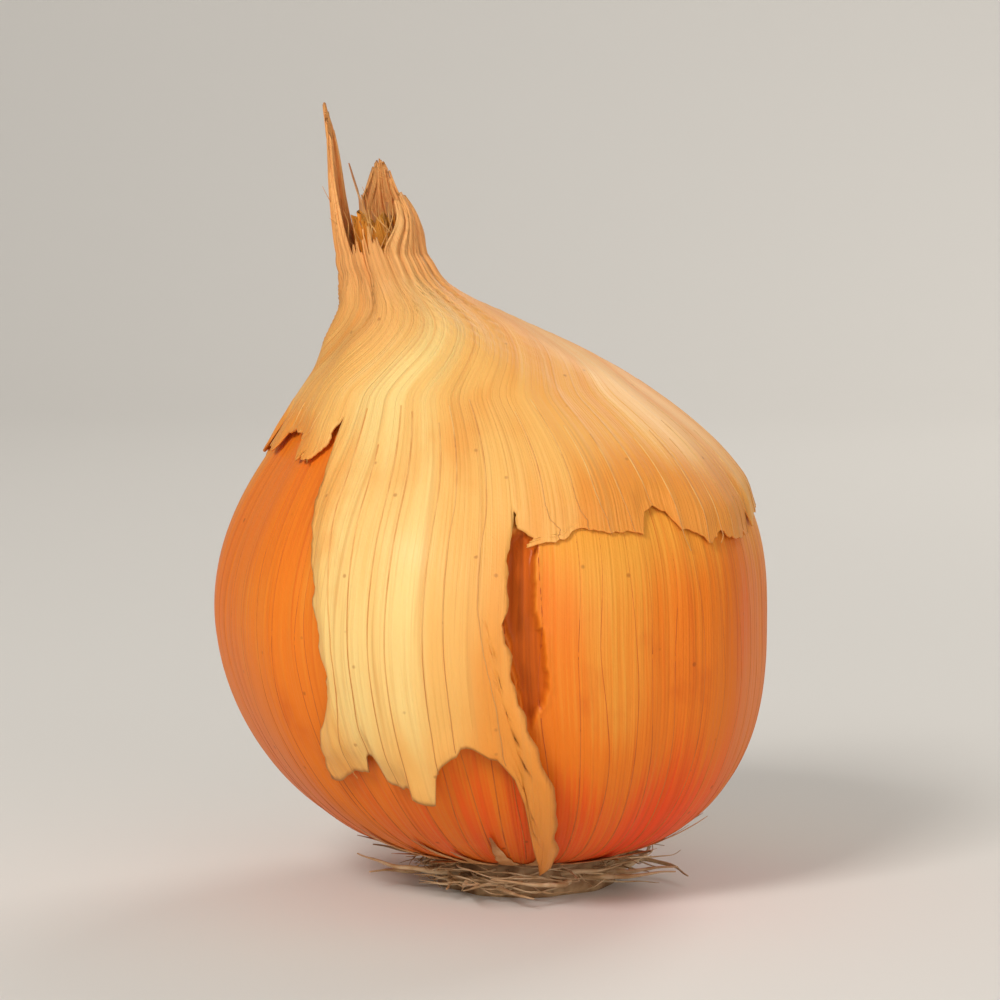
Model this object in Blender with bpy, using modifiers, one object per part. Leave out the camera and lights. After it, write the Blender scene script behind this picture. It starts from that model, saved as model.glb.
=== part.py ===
"""An onion set: the small dry onion bulb that is planted to grow a full-sized onion.

Three pieces make it. The bulb is the swollen body in its tight golden skin, drawn up into a
withered inner neck. The outer skin is the papery sheath round that neck: it is torn into four
tongues that hang over the bulb, and its top is frayed into three dry tips. The roots are the
corky root plate, on whose flat underside the bulb stands, with its dried rootlets.

Every form is first made upright and round, about the Z axis, and then grown: bent along the
leaning spine, with its lobes, ribs and neck folds. The front of the object faces -Y.
"""

import math
import random

import bmesh
import bpy
from mathutils import Vector
from mathutils.geometry import interpolate_bezier

MM = 0.001

# Driving dimensions of the upright, round bulb
BODY_RADIUS = 9.65 * MM
WAIST_HEIGHT = 9.9 * MM
FOOT_RADIUS = 3.3 * MM
FOOT_HEIGHT = 1.35 * MM
SHOULDER_RADIUS = 5.6 * MM
SHOULDER_HEIGHT = 17.8 * MM
NECK_RADIUS = 0.8 * MM
NECK_HEIGHT = 21.8 * MM
NECK_TIP_RADIUS = 0.5 * MM
NECK_TIP_HEIGHT = 23.9 * MM
COLUMNS = 64

# The spine: how far the middle of each level lies from the root plate's middle, as (height, X, Y)
SPINE = [
    (0.0 * MM, 0.0 * MM, 0.0 * MM),
    (9.0 * MM, -1.1 * MM, 0.1 * MM),
    (15.5 * MM, -1.1 * MM, 0.3 * MM),
    (18.4 * MM, -1.95 * MM, 0.4 * MM),
    (20.2 * MM, -3.25 * MM, 0.3 * MM),
    (21.8 * MM, -4.7 * MM, 0.1 * MM),
    (24.6 * MM, -5.55 * MM, -0.2 * MM),
    (28.4 * MM, -6.4 * MM, 0.1 * MM),
]

# Lobes are shares of the radius, and ribs and folds are heights in metres
LOBES = ((2, 0.014, 0.6), (3, 0.010, 2.1), (5, 0.006, 4.0))
RIBS = 10
RIB_HEIGHT = 0.1 * MM
NECK_FOLDS = 5
NECK_FOLD_HEIGHT = 0.1 * MM
FULL_RELIEF_RADIUS = 1.1 * MM
NECK_TWIST = math.radians(50.0)

# The outer skin
SKIN_GAP = 0.3 * MM
SKIN_THICKNESS = 0.6 * MM
NECK_FILLET = 0.22 * MM
NECK_FILLET_HEIGHT = 21.4 * MM
NECK_FILLET_REACH = 0.9 * MM
SPLIT_WIDTH = 0.4 * MM
RAGGED_TURN = math.radians(1.6)
RAGGED_END = 0.7 * MM
SHEATH_TOP_HEIGHT = 22.6 * MM
SHEATH_ROWS = 7
TONGUE_ROWS = 8
TIP_ROWS = 6
DEGREES_PER_COLUMN = 9.0

# The tongues, anticlockwise from the front. Each runs between two splits, given by their turn
# about the axis and the height where they start, and is narrowed at its end.
SPLITS = [(-136.0, 17.0), (-86.0, 14.2), (12.0, 17.0), (128.0, 17.8)]
TONGUE_END_HEIGHTS = [4.9, 13.2, 4.2, 15.4]
TONGUE_NARROWING = [2.0, 3.0, 17.0, 5.0]

# The dry tips above the tongues, as (turn, height, distance from the spine, half width). The
# front tongue has none.
TIPS = [
    None,
    (-26.0, 25.0, 1.5, 0.55),
    (68.0, 26.2, 1.3, 0.55),
    (178.0, 28.2, 0.9, 0.35),
]
TIP_POINT = 0.12

# The root plate and its rootlets
PLATE_RADIUS = 3.15 * MM
PLATE_HEIGHT = 1.1 * MM
PLATE_SIDES = 30
ROOTLET_COUNT = 30
ROOTLET_RADIUS = 0.27 * MM
ROOTLET_START = 2.0 * MM
ROOTLET_POINTS = 7
ROOTLET_SEED = 11


def clear_scene():
    """Leaves the scene with no object."""
    for item in list(bpy.data.objects):
        bpy.data.objects.remove(item, do_unlink=True)


def collection_named(name, hidden=False):
    """A collection in the scene."""
    made = bpy.data.collections.new(name)
    made.hide_render = hidden
    bpy.context.scene.collection.children.link(made)
    return made


def material(name, colour, roughness):
    """A plain finish for a piece."""
    made = bpy.data.materials.new(name)
    made.use_nodes = True
    shader = made.node_tree.nodes["Principled BSDF"]
    shader.inputs["Base Color"].default_value = (*colour, 1.0)
    shader.inputs["Roughness"].default_value = roughness
    shader.inputs["Metallic"].default_value = 0.0
    made.diffuse_color = (*colour, 1.0)
    return made


def object_of(name, mesh, collection, finish=None):
    """An object for a mesh or a curve."""
    made = bpy.data.objects.new(name, mesh)
    collection.objects.link(made)
    if finish:
        made.data.materials.append(finish)
    return made


def made_mesh(source, name, collection, finish=None):
    """A plain mesh object of what a source object evaluates to, with its doubles welded."""
    bpy.context.view_layer.update()
    graph = bpy.context.evaluated_depsgraph_get()
    mesh = bpy.data.meshes.new_from_object(source.evaluated_get(graph))
    mesh.name = name
    form = bmesh.new()
    form.from_mesh(mesh)
    bmesh.ops.remove_doubles(form, verts=form.verts, dist=0.005 * MM)
    form.to_mesh(mesh)
    form.free()
    mesh.materials.clear()
    made = object_of(name, mesh, collection, finish)
    made.matrix_world = source.matrix_world
    bpy.data.objects.remove(source, do_unlink=True)
    return made


def eased(low, high, value):
    """0 below low, 1 above high, and a smooth rise between them."""
    share = min(1.0, max(0.0, (value - low) / (high - low)))
    return share * share * (3.0 - 2.0 * share)


def spine_at(height):
    """The middle of the level at a height, on a smooth curve through SPINE."""
    last = len(SPINE) - 1
    span = next((i for i in range(last) if height <= SPINE[i + 1][0]), last - 1)
    low, high = SPINE[span], SPINE[span + 1]
    before, after = SPINE[max(span - 1, 0)], SPINE[min(span + 2, last)]
    length = high[0] - low[0]
    t = (height - low[0]) / length
    middle = []
    for axis in (1, 2):
        slope_low = (high[axis] - before[axis]) / (high[0] - before[0]) * length
        slope_high = (after[axis] - low[axis]) / (after[0] - low[0]) * length
        middle.append(
            low[axis] * (2 * t**3 - 3 * t**2 + 1)
            + slope_low * (t**3 - 2 * t**2 + t)
            + high[axis] * (3 * t**2 - 2 * t**3)
            + slope_high * (t**3 - t**2)
        )
    return Vector((middle[0], middle[1]))


def relief(turn, height):
    """How far the ribs and the neck's folds raise the skin, in metres."""
    in_neck = eased(SHOULDER_HEIGHT, NECK_HEIGHT, height)
    twisted = turn - NECK_TWIST * in_neck
    on_body = eased(FOOT_HEIGHT, FOOT_HEIGHT + 3.0 * MM, height)
    ribs = RIB_HEIGHT * on_body * (1.0 - in_neck) * math.cos(RIBS * turn)
    in_tips = eased(NECK_HEIGHT, NECK_HEIGHT + 2.0 * MM, height)
    folds = NECK_FOLD_HEIGHT * in_neck * (1.0 - in_tips) * math.cos(NECK_FOLDS * twisted)
    return ribs + folds


def grown(point):
    """The place, on the grown bulb, of a point of the upright round form."""
    radius = math.hypot(point.x, point.y)
    turn = math.atan2(point.y, point.x)
    waves = sum(size * math.cos(count * turn + phase) for count, size, phase in LOBES)
    share = min(1.0, radius / FULL_RELIEF_RADIUS) ** 2
    radius = radius * (1.0 + waves) + relief(turn, point.z) * share
    middle = spine_at(point.z)
    return Vector(
        (middle.x + radius * math.cos(turn), middle.y + radius * math.sin(turn), point.z)
    )


def outline():
    """Points (radius, height) up the upright bulb's side, from the foot's rim to the neck's tip."""
    foot = Vector((FOOT_RADIUS, FOOT_HEIGHT))
    waist = Vector((BODY_RADIUS, WAIST_HEIGHT))
    shoulder = Vector((SHOULDER_RADIUS, SHOULDER_HEIGHT))
    neck = Vector((NECK_RADIUS, NECK_HEIGHT))
    tip = Vector((NECK_TIP_RADIUS, NECK_TIP_HEIGHT))
    down_the_shoulder = Vector((2.1 * MM, -2.0 * MM))
    spans = (
        (foot, foot + Vector((3.6 * MM, 0.6 * MM)), waist - Vector((0, 4.9 * MM)), waist, 9),
        (waist, waist + Vector((0, 3.9 * MM)), shoulder + down_the_shoulder, shoulder, 9),
        (shoulder, shoulder - down_the_shoulder, neck - Vector((0, 1.1 * MM)), neck, 8),
        (neck, neck + Vector((0, 0.7 * MM)), tip - Vector((0, 0.7 * MM)), tip, 3),
    )
    points = []
    for start, leaving, arriving, end, count in spans:
        points += interpolate_bezier(start, leaving, arriving, end, count + 1)[:-1]
    points.append(spans[-1][3])
    return [Vector((point.x, point.y)) for point in points]


class Side:
    """The upright bulb's side, measured by height, for pieces that lie over it."""

    def __init__(self):
        self.points = outline()

    def at(self, height, lift):
        """(radius, height) of the place lifted square off the side at a height."""
        points = self.points
        last = len(points) - 2
        span = next((i for i in range(last) if height <= points[i + 1].y), last)
        low, high = points[span], points[span + 1]
        t = (height - low.y) / (high.y - low.y)
        before = points[max(span - 1, 0)]
        after = points[min(span + 2, last + 1)]
        along = ((high - before) * (1.0 - t) + (after - low) * t).normalized()
        place = low.lerp(high, t)
        return place + Vector((along.y, -along.x)) * lift


def build_bulb(collection, finish):
    """The bulb: its outline is turned about the axis, and then grown."""
    side = outline()
    profile = [Vector((0.0, NECK_TIP_HEIGHT))] + side[::-1] + [Vector((0.0, FOOT_HEIGHT))]
    form = bmesh.new()
    corners = [form.verts.new((point.x, 0.0, point.y)) for point in profile]
    for upper, lower in zip(corners, corners[1:]):
        form.edges.new((upper, lower))
    mesh = bpy.data.meshes.new("bulb_outline")
    form.to_mesh(mesh)
    form.free()
    turned = object_of("bulb_turned", mesh, collection)
    screw = turned.modifiers.new("Turn", "SCREW")
    screw.axis = "Z"
    screw.steps = screw.render_steps = COLUMNS
    screw.use_merge_vertices = True
    screw.merge_threshold = 0.01 * MM
    bulb = made_mesh(turned, "bulb", collection, finish)
    for vertex in bulb.data.vertices:
        vertex.co = grown(vertex.co)
    bulb.data.shade_smooth()
    return bulb


def ragged(turn, seed):
    """A fixed uneven wave between -1 and 1, for torn edges."""
    return (
        0.5 * math.sin(5.0 * turn + seed)
        + 0.3 * math.sin(13.0 * turn + 2.3 * seed)
        + 0.2 * math.sin(23.0 * turn + 3.1 * seed)
    )


class SkinColumn:
    """One line of the outer skin's points, from a dry tip through the sheath down a tongue.

    The points are on the upright form. The column's share is its place across its tongue.
    """

    def __init__(self, side, number, share):
        self.side = side
        self.number = number
        self.share = share
        self.across = 2.0 * share - 1.0

    def turn_at(self, radius):
        """Its turn about the axis where the skin has a radius: the splits keep their width."""
        first = SPLITS[self.number][0]
        after = SPLITS[(self.number + 1) % len(SPLITS)][0]
        width = math.radians((after - first) % 360.0)
        margin = SPLIT_WIDTH / 2 / radius
        return math.radians(first) + margin + (width - 2 * margin) * self.share

    def split_height(self):
        """Height where the sheath ends here, between the splits at its tongue's edges."""
        first = SPLITS[self.number][1]
        after = SPLITS[(self.number + 1) % len(SPLITS)][1]
        return (first + (after - first) * self.share) * MM

    def tongue(self, row):
        """A point of the tongue: row 0 is at the sheath."""
        fall = row / TONGUE_ROWS
        start = self.split_height()
        wave = ragged(self.turn_at(BODY_RADIUS), self.number)
        end = TONGUE_END_HEIGHTS[self.number] * MM + RAGGED_END * wave
        radius, height = self.side.at(start + (end - start) * fall, SKIN_GAP)
        narrowing = math.radians(TONGUE_NARROWING[self.number]) * fall
        fray = RAGGED_TURN * fall * abs(self.across) ** 3
        fray *= ragged(2.0 * fall + self.share, self.number)
        turn = self.turn_at(radius) - self.across * narrowing + fray
        return on_turn(turn, radius, height)

    def sheath(self, row):
        """A point of the closed sheath: row 0 is where the tips part."""
        fall = row / SHEATH_ROWS
        height = SHEATH_TOP_HEIGHT + (self.split_height() - SHEATH_TOP_HEIGHT) * fall
        fillet = NECK_FILLET * math.exp(-(((height - NECK_FILLET_HEIGHT) / NECK_FILLET_REACH) ** 2))
        radius, height = self.side.at(height, SKIN_GAP + fillet)
        return on_turn(self.turn_at(radius), radius, height)

    def tip(self, row):
        """A point of the dry tip: row 0 is where the tips part."""
        rise = row / TIP_ROWS
        tip_turn, tip_height, spread, half_width = TIPS[self.number]
        foot_radius, foot_height = self.side.at(SHEATH_TOP_HEIGHT, SKIN_GAP)
        radius = foot_radius + (spread * MM - foot_radius) * rise**1.4
        turn = self.turn_at(foot_radius)
        end_turn = math.radians(tip_turn) + self.across * half_width * MM / radius
        drop = 1.0 - TIP_POINT * abs(self.across) ** 1.5
        height = foot_height + (tip_height * MM - foot_height) * rise * drop
        return on_turn(turn + (end_turn - turn) * rise, radius, height)

    def points(self):
        """All its points on the grown bulb, from the top down."""
        places = [self.sheath(row) for row in range(SHEATH_ROWS)]
        if TIPS[self.number]:
            places = [self.tip(row) for row in range(TIP_ROWS, 0, -1)] + places
        places += [self.tongue(row) for row in range(TONGUE_ROWS + 1)]
        return [grown(place) for place in places]


def on_turn(turn, radius, height):
    """The point at a turn about the axis."""
    return Vector((radius * math.cos(turn), radius * math.sin(turn), height))


def skin_columns():
    """The columns of the outer skin's points, anticlockwise, tongue by tongue."""
    side = Side()
    columns = []
    for number, (first, _) in enumerate(SPLITS):
        width = (SPLITS[(number + 1) % len(SPLITS)][0] - first) % 360.0
        steps = max(4, round(width / DEGREES_PER_COLUMN))
        columns += [SkinColumn(side, number, step / steps) for step in range(steps + 1)]
    return columns


def build_outer_skin(collection, finish):
    """The outer skin: one sheet of sheath, tongues and tips, laid over the bulb and thickened."""
    columns = skin_columns()
    form = bmesh.new()
    lines = [[form.verts.new(place) for place in column.points()] for column in columns]
    for index, column in enumerate(columns):
        follower = (index + 1) % len(columns)
        joined = columns[follower].number == column.number
        rows = min(len(lines[index]), len(lines[follower]))
        here, beyond = lines[index][-rows:], lines[follower][-rows:]
        for row in range(rows - 1):
            in_tip = row < rows - 1 - SHEATH_ROWS - TONGUE_ROWS
            in_tongue = row >= rows - 1 - TONGUE_ROWS
            if joined or not (in_tip or in_tongue):
                form.faces.new((here[row], here[row + 1], beyond[row + 1], beyond[row]))
    mesh = bpy.data.meshes.new("outer_skin_sheet")
    form.to_mesh(mesh)
    form.free()
    sheet = object_of("outer_skin", mesh, collection, finish)
    thickness = sheet.modifiers.new("Thickness", "SOLIDIFY")
    thickness.thickness = SKIN_THICKNESS
    thickness.offset = 1.0
    sheet.data.shade_smooth()
    return sheet


def build_plate(collection, finish):
    """The corky root plate: a low disc with an uneven rim and a flat underside at height 0."""
    form = bmesh.new()
    bmesh.ops.create_cone(
        form,
        cap_ends=True,
        segments=PLATE_SIDES,
        radius1=PLATE_RADIUS,
        radius2=PLATE_RADIUS * 0.9,
        depth=PLATE_HEIGHT,
    )
    for vertex in form.verts:
        turn = math.atan2(vertex.co.y, vertex.co.x)
        uneven = 1.0 + 0.03 * math.cos(4.0 * turn + 0.7) + 0.02 * math.cos(9.0 * turn)
        vertex.co.x *= uneven
        vertex.co.y *= uneven
        vertex.co.z += PLATE_HEIGHT / 2
    mesh = bpy.data.meshes.new("roots")
    form.to_mesh(mesh)
    form.free()
    return object_of("roots", mesh, collection, finish)


def rootlet_path(chance, turn):
    """The middle line of one dried rootlet, from inside the root plate outwards."""
    reach = chance.uniform(1.9, 3.0) * MM + (chance.random() < 0.25) * 1.4 * MM
    curl = chance.uniform(-0.8, 0.8)
    start_height = chance.uniform(0.4, 0.72) * MM
    end_height = chance.uniform(0.32, 1.38) * MM
    path = []
    for step in range(ROOTLET_POINTS):
        share = step / (ROOTLET_POINTS - 1)
        radius = ROOTLET_START + reach * share
        bent = turn + curl * share**2
        height = start_height + (end_height - start_height) * share**2
        path.append(Vector((radius * math.cos(bent), radius * math.sin(bent), height)))
    return path


def build_rootlet(path, name, collection):
    """One rootlet: a curve along its path, thinner towards its end, made a closed mesh."""
    curve = bpy.data.curves.new(name, "CURVE")
    curve.dimensions = "3D"
    curve.bevel_depth = ROOTLET_RADIUS
    curve.bevel_resolution = 1
    curve.use_fill_caps = True
    spline = curve.splines.new("POLY")
    spline.points.add(len(path) - 1)
    for index, (point, place) in enumerate(zip(spline.points, path)):
        point.co = (*place, 1.0)
        point.radius = 1.0 - 0.5 * index / (len(path) - 1)
    return made_mesh(object_of(name + "_line", curve, collection), name, collection)


def build_roots(collection, finish):
    """The root plate with its rootlets, joined in one body."""
    chance = random.Random(ROOTLET_SEED)
    roots = build_plate(collection, finish)
    rootlets = collection_named("rootlets", hidden=True)
    for number in range(ROOTLET_COUNT):
        turn = 2.0 * math.pi * (number + chance.uniform(-0.3, 0.3)) / ROOTLET_COUNT
        build_rootlet(rootlet_path(chance, turn), f"rootlet_{number:02d}", rootlets)
    union = roots.modifiers.new("Rootlets", "BOOLEAN")
    union.operation = "UNION"
    union.operand_type = "COLLECTION"
    union.collection = rootlets
    union.solver = "EXACT"
    joined = made_mesh(roots, "roots_joined", collection, finish)
    joined.name = "roots"
    for rootlet in list(rootlets.objects):
        bpy.data.objects.remove(rootlet, do_unlink=True)
    bpy.data.collections.remove(rootlets)
    return joined


def main():
    """Builds the onion set."""
    clear_scene()
    onion_set = collection_named("onion_set")
    bulb_finish = material("bulb_skin", (0.74, 0.26, 0.035), 0.38)
    outer_finish = material("dry_outer_skin", (0.86, 0.56, 0.20), 0.5)
    root_finish = material("dry_roots", (0.55, 0.38, 0.20), 0.85)
    build_bulb(onion_set, bulb_finish)
    build_outer_skin(onion_set, outer_finish)
    build_roots(onion_set, root_finish)


main()
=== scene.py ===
"""The looks of an onion set: the small dry onion bulb that is planted to grow a full-sized onion.

Every skin here repeats the form of the solid that it replaces, with the same driving sizes, and
adds what makes it look grown and dried: veins, pleats, torn and curled edges, withered leaves in
the neck, a corky root plate and fine roots. The front of the object faces -Y, and the neck leans
towards -X.
"""

import logging
import math
import random
from collections.abc import Callable
from dataclasses import asdict, dataclass
from enum import Enum

import bpy
import numpy as np
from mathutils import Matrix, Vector, noise
from mathutils.geometry import interpolate_bezier


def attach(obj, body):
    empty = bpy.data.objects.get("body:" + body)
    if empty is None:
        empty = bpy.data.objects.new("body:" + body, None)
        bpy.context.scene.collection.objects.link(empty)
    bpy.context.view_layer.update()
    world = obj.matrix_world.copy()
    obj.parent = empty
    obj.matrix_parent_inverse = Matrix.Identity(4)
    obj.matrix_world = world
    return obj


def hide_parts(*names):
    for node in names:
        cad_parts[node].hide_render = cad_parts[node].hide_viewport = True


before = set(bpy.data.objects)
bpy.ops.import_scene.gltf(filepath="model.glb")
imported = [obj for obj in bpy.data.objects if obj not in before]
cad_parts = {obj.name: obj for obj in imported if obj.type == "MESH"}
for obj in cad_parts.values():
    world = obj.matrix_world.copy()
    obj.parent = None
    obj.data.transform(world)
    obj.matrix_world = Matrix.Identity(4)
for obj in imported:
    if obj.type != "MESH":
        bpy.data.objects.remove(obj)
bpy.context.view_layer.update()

logging.basicConfig(level=logging.INFO, format="%(message)s")
LOG = logging.getLogger("onion_set")

MM = 0.001
FULL_TURN = 2.0 * math.pi
ROOT_BODY = "root"

FOOT_HEIGHT = 1.35 * MM
SHOULDER_HEIGHT = 17.8 * MM
NECK_HEIGHT = 21.8 * MM

GRAIN = "grain"
TONE = "tone"
EDGE = "edge"
CRACK = "crack"
ALONG = "along"

RIDGE_SHARPNESS = 2.4

# How many times finer than the broad streaks the fine lines and the hairs are round the bulb
FINE_TIMES = 4.6
HAIR_TIMES = 13.0
HAIR_ALONG = 1.5
BLOTCH_AROUND = 2.6
BLOTCH_ALONG = 2.4
SPECK_CORE = 0.10
SPECK_RIM = 0.30
TOOTH_TIMES = 2.5


class Slot(Enum):
    """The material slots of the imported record."""

    BULB = "bulb_skin"
    OUTER = "dry_outer_skin"
    ROOTS = "dry_roots"


def eased(low: float, high: float, values: np.ndarray) -> np.ndarray:
    """Rises smoothly from 0 at low to 1 at high.

    Args:
        low: Value at which the rise starts.
        high: Value at which it ends.
        values: Values to read it at.

    Returns:
        The rise at each value.
    """
    share = np.clip((np.asarray(values, dtype=float) - low) / (high - low), 0.0, 1.0)
    return share * share * (3.0 - 2.0 * share)


def facing(turns: np.ndarray, middle: float, width: float) -> np.ndarray:
    """1 on one side of the bulb, falling off smoothly to 0 round it.

    Args:
        turns: Turns about the axis, in radians.
        middle: The turn of that side, in degrees.
        width: How far round it falls off, in degrees.

    Returns:
        The value at each turn.
    """
    away = (turns - math.radians(middle) + math.pi) % FULL_TURN - math.pi
    return np.exp(-((away / math.radians(width)) ** 2))


def noise_at(points: np.ndarray, seed: float) -> np.ndarray:
    """Smooth noise between about -1 and 1.

    Args:
        points: Points of three numbers, in the last axis.
        seed: Shift that gives another pattern.

    Returns:
        The noise at each point.
    """
    shift = Vector((seed, seed * 1.7, -seed * 0.6))
    values = [noise.noise(Vector(point) + shift) for point in points.reshape(-1, 3)]
    return np.array(values).reshape(points.shape[:-1])


def line_noise(places: np.ndarray, seed: float) -> np.ndarray:
    """Smooth noise along a line, from single numbers."""
    level = np.zeros_like(places)
    return noise_at(np.stack([places, level, level], axis=-1), seed)


def grain_at(turns: np.ndarray, heights: np.ndarray) -> np.ndarray:
    """Coordinates that follow the skin's fibres, which run from the roots to the neck.

    Args:
        turns: Turns about the axis, in radians.
        heights: Heights on the upright form.

    Returns:
        Points on a drum of radius 1, whose height is in centimetres.
    """
    return np.stack([np.cos(turns), np.sin(turns), heights / (10.0 * MM)], axis=-1)


def fibres(grain: np.ndarray, around: float, along: float, seed: float) -> np.ndarray:
    """Noise that is drawn out along the skin's fibres.

    Args:
        grain: Coordinates from grain_at.
        around: How many features there are in a radian.
        along: How many features there are in a centimetre of height.
        seed: Shift that gives another pattern.

    Returns:
        The noise at each point, between about -1 and 1.
    """
    return noise_at(grain * np.array([around, around, along]), seed)


def ridges(grain: np.ndarray, around: float, along: float, seed: float) -> np.ndarray:
    """Sharp ridges along the fibres: 1 on their crests, falling to about -1 between them."""
    return 1.0 - RIDGE_SHARPNESS * np.abs(fibres(grain, around, along, seed))


@dataclass(frozen=True)
class Patch:
    """A patch of a skin where its tone differs.

    It faces a turn and falls off over a width, both in degrees. It is whole below its low height
    and gone above its high one, or the other way round where it is an upper patch.
    """

    amount: float
    turn: float
    width: float
    low: float
    high: float
    upper: bool = False

    def at(self, turns: np.ndarray, heights: np.ndarray) -> np.ndarray:
        """How much it adds to the tone at each place."""
        risen = eased(self.low, self.high, heights)
        share = risen if self.upper else 1.0 - risen
        return self.amount * facing(turns, self.turn, self.width) * share


@dataclass(frozen=True)
class Growth:
    """How the upright, round form becomes the grown onion set.

    The spine gives the middle of each level as (height, X, Y), the lobes are shares of the
    radius as (count, size, phase), and ribs and folds raise the skin by their heights.
    """

    spine: tuple[tuple[float, float, float], ...] = (
        (0.0 * MM, 0.0 * MM, 0.0 * MM),
        (9.0 * MM, -1.1 * MM, 0.1 * MM),
        (15.5 * MM, -1.1 * MM, 0.3 * MM),
        (18.4 * MM, -1.95 * MM, 0.4 * MM),
        (20.2 * MM, -3.25 * MM, 0.3 * MM),
        (21.8 * MM, -4.7 * MM, 0.1 * MM),
        (24.6 * MM, -5.55 * MM, -0.2 * MM),
        (28.4 * MM, -6.4 * MM, 0.1 * MM),
    )
    lobes: tuple[tuple[int, float, float], ...] = ((2, 0.014, 0.6), (3, 0.010, 2.1), (5, 0.006, 4.0))
    ribs: int = 10
    rib_height: float = 0.1 * MM
    folds: int = 5
    fold_height: float = 0.1 * MM
    full_relief_radius: float = 1.1 * MM
    twist: float = math.radians(50.0)
    foot_height: float = FOOT_HEIGHT
    foot_fade: float = 3.0 * MM
    shoulder_height: float = SHOULDER_HEIGHT
    neck_height: float = NECK_HEIGHT
    tip_fade: float = 2.0 * MM

    def middle(self, heights: np.ndarray) -> np.ndarray:
        """The middle of each level, on a smooth curve through the spine.

        Args:
            heights: Heights of the levels.

        Returns:
            Their (X, Y), in the last axis.
        """
        spine = np.array(self.spine)
        last = len(spine) - 1
        low = np.clip(np.searchsorted(spine[:, 0], heights, side="left") - 1, 0, last - 1)
        before, after = np.maximum(low - 1, 0), np.minimum(low + 2, last)
        length = spine[low + 1, 0] - spine[low, 0]
        t = ((heights - spine[low, 0]) / length)[..., None]
        run_low = (length / (spine[low + 1, 0] - spine[before, 0]))[..., None]
        run_high = (length / (spine[after, 0] - spine[low, 0]))[..., None]
        start, end = spine[low, 1:], spine[low + 1, 1:]
        slope_low = (end - spine[before, 1:]) * run_low
        slope_high = (spine[after, 1:] - start) * run_high
        return (
            start * (2 * t**3 - 3 * t**2 + 1)
            + slope_low * (t**3 - 2 * t**2 + t)
            + end * (3 * t**2 - 2 * t**3)
            + slope_high * (t**3 - t**2)
        )

    def in_neck(self, heights: np.ndarray) -> np.ndarray:
        """0 on the bulb's body and 1 in its neck."""
        return eased(self.shoulder_height, self.neck_height, heights)

    def twisted(self, turns: np.ndarray, heights: np.ndarray) -> np.ndarray:
        """The turn at which a fibre that ends here would start on the body."""
        return turns - self.twist * self.in_neck(heights)

    def grain(self, turns: np.ndarray, heights: np.ndarray) -> np.ndarray:
        """Coordinates that follow the fibres, also where the neck twists."""
        return grain_at(self.twisted(turns, heights), heights)

    def relief(self, turns: np.ndarray, heights: np.ndarray) -> np.ndarray:
        """How far the ribs and the neck's folds raise the skin."""
        in_neck = self.in_neck(heights)
        on_body = eased(self.foot_height, self.foot_height + self.foot_fade, heights)
        in_tips = eased(self.neck_height, self.neck_height + self.tip_fade, heights)
        ribs = self.rib_height * on_body * (1.0 - in_neck) * np.cos(self.ribs * turns)
        folds = np.cos(self.folds * self.twisted(turns, heights))
        return ribs + self.fold_height * in_neck * (1.0 - in_tips) * folds

    def place(self, turns: np.ndarray, radii: np.ndarray, heights: np.ndarray) -> np.ndarray:
        """The places, on the grown onion set, of points of the upright form.

        Args:
            turns: Turns about the axis, in radians.
            radii: Distances from the axis.
            heights: Heights.

        Returns:
            The places, with X, Y and Z in the last axis.
        """
        waves = sum(size * np.cos(count * turns + phase) for count, size, phase in self.lobes)
        share = np.minimum(1.0, radii / self.full_relief_radius) ** 2
        grown = radii * (1.0 + waves) + self.relief(turns, heights) * share
        x, y = np.moveaxis(self.middle(heights), -1, 0)
        return np.stack([x + grown * np.cos(turns), y + grown * np.sin(turns), heights], axis=-1)

    def line(self, turns: np.ndarray, radii: np.ndarray, heights: np.ndarray) -> list[Vector]:
        """The places of points in a row, as a list of vectors."""
        return [Vector(place) for place in self.place(turns, radii, heights)]


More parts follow.
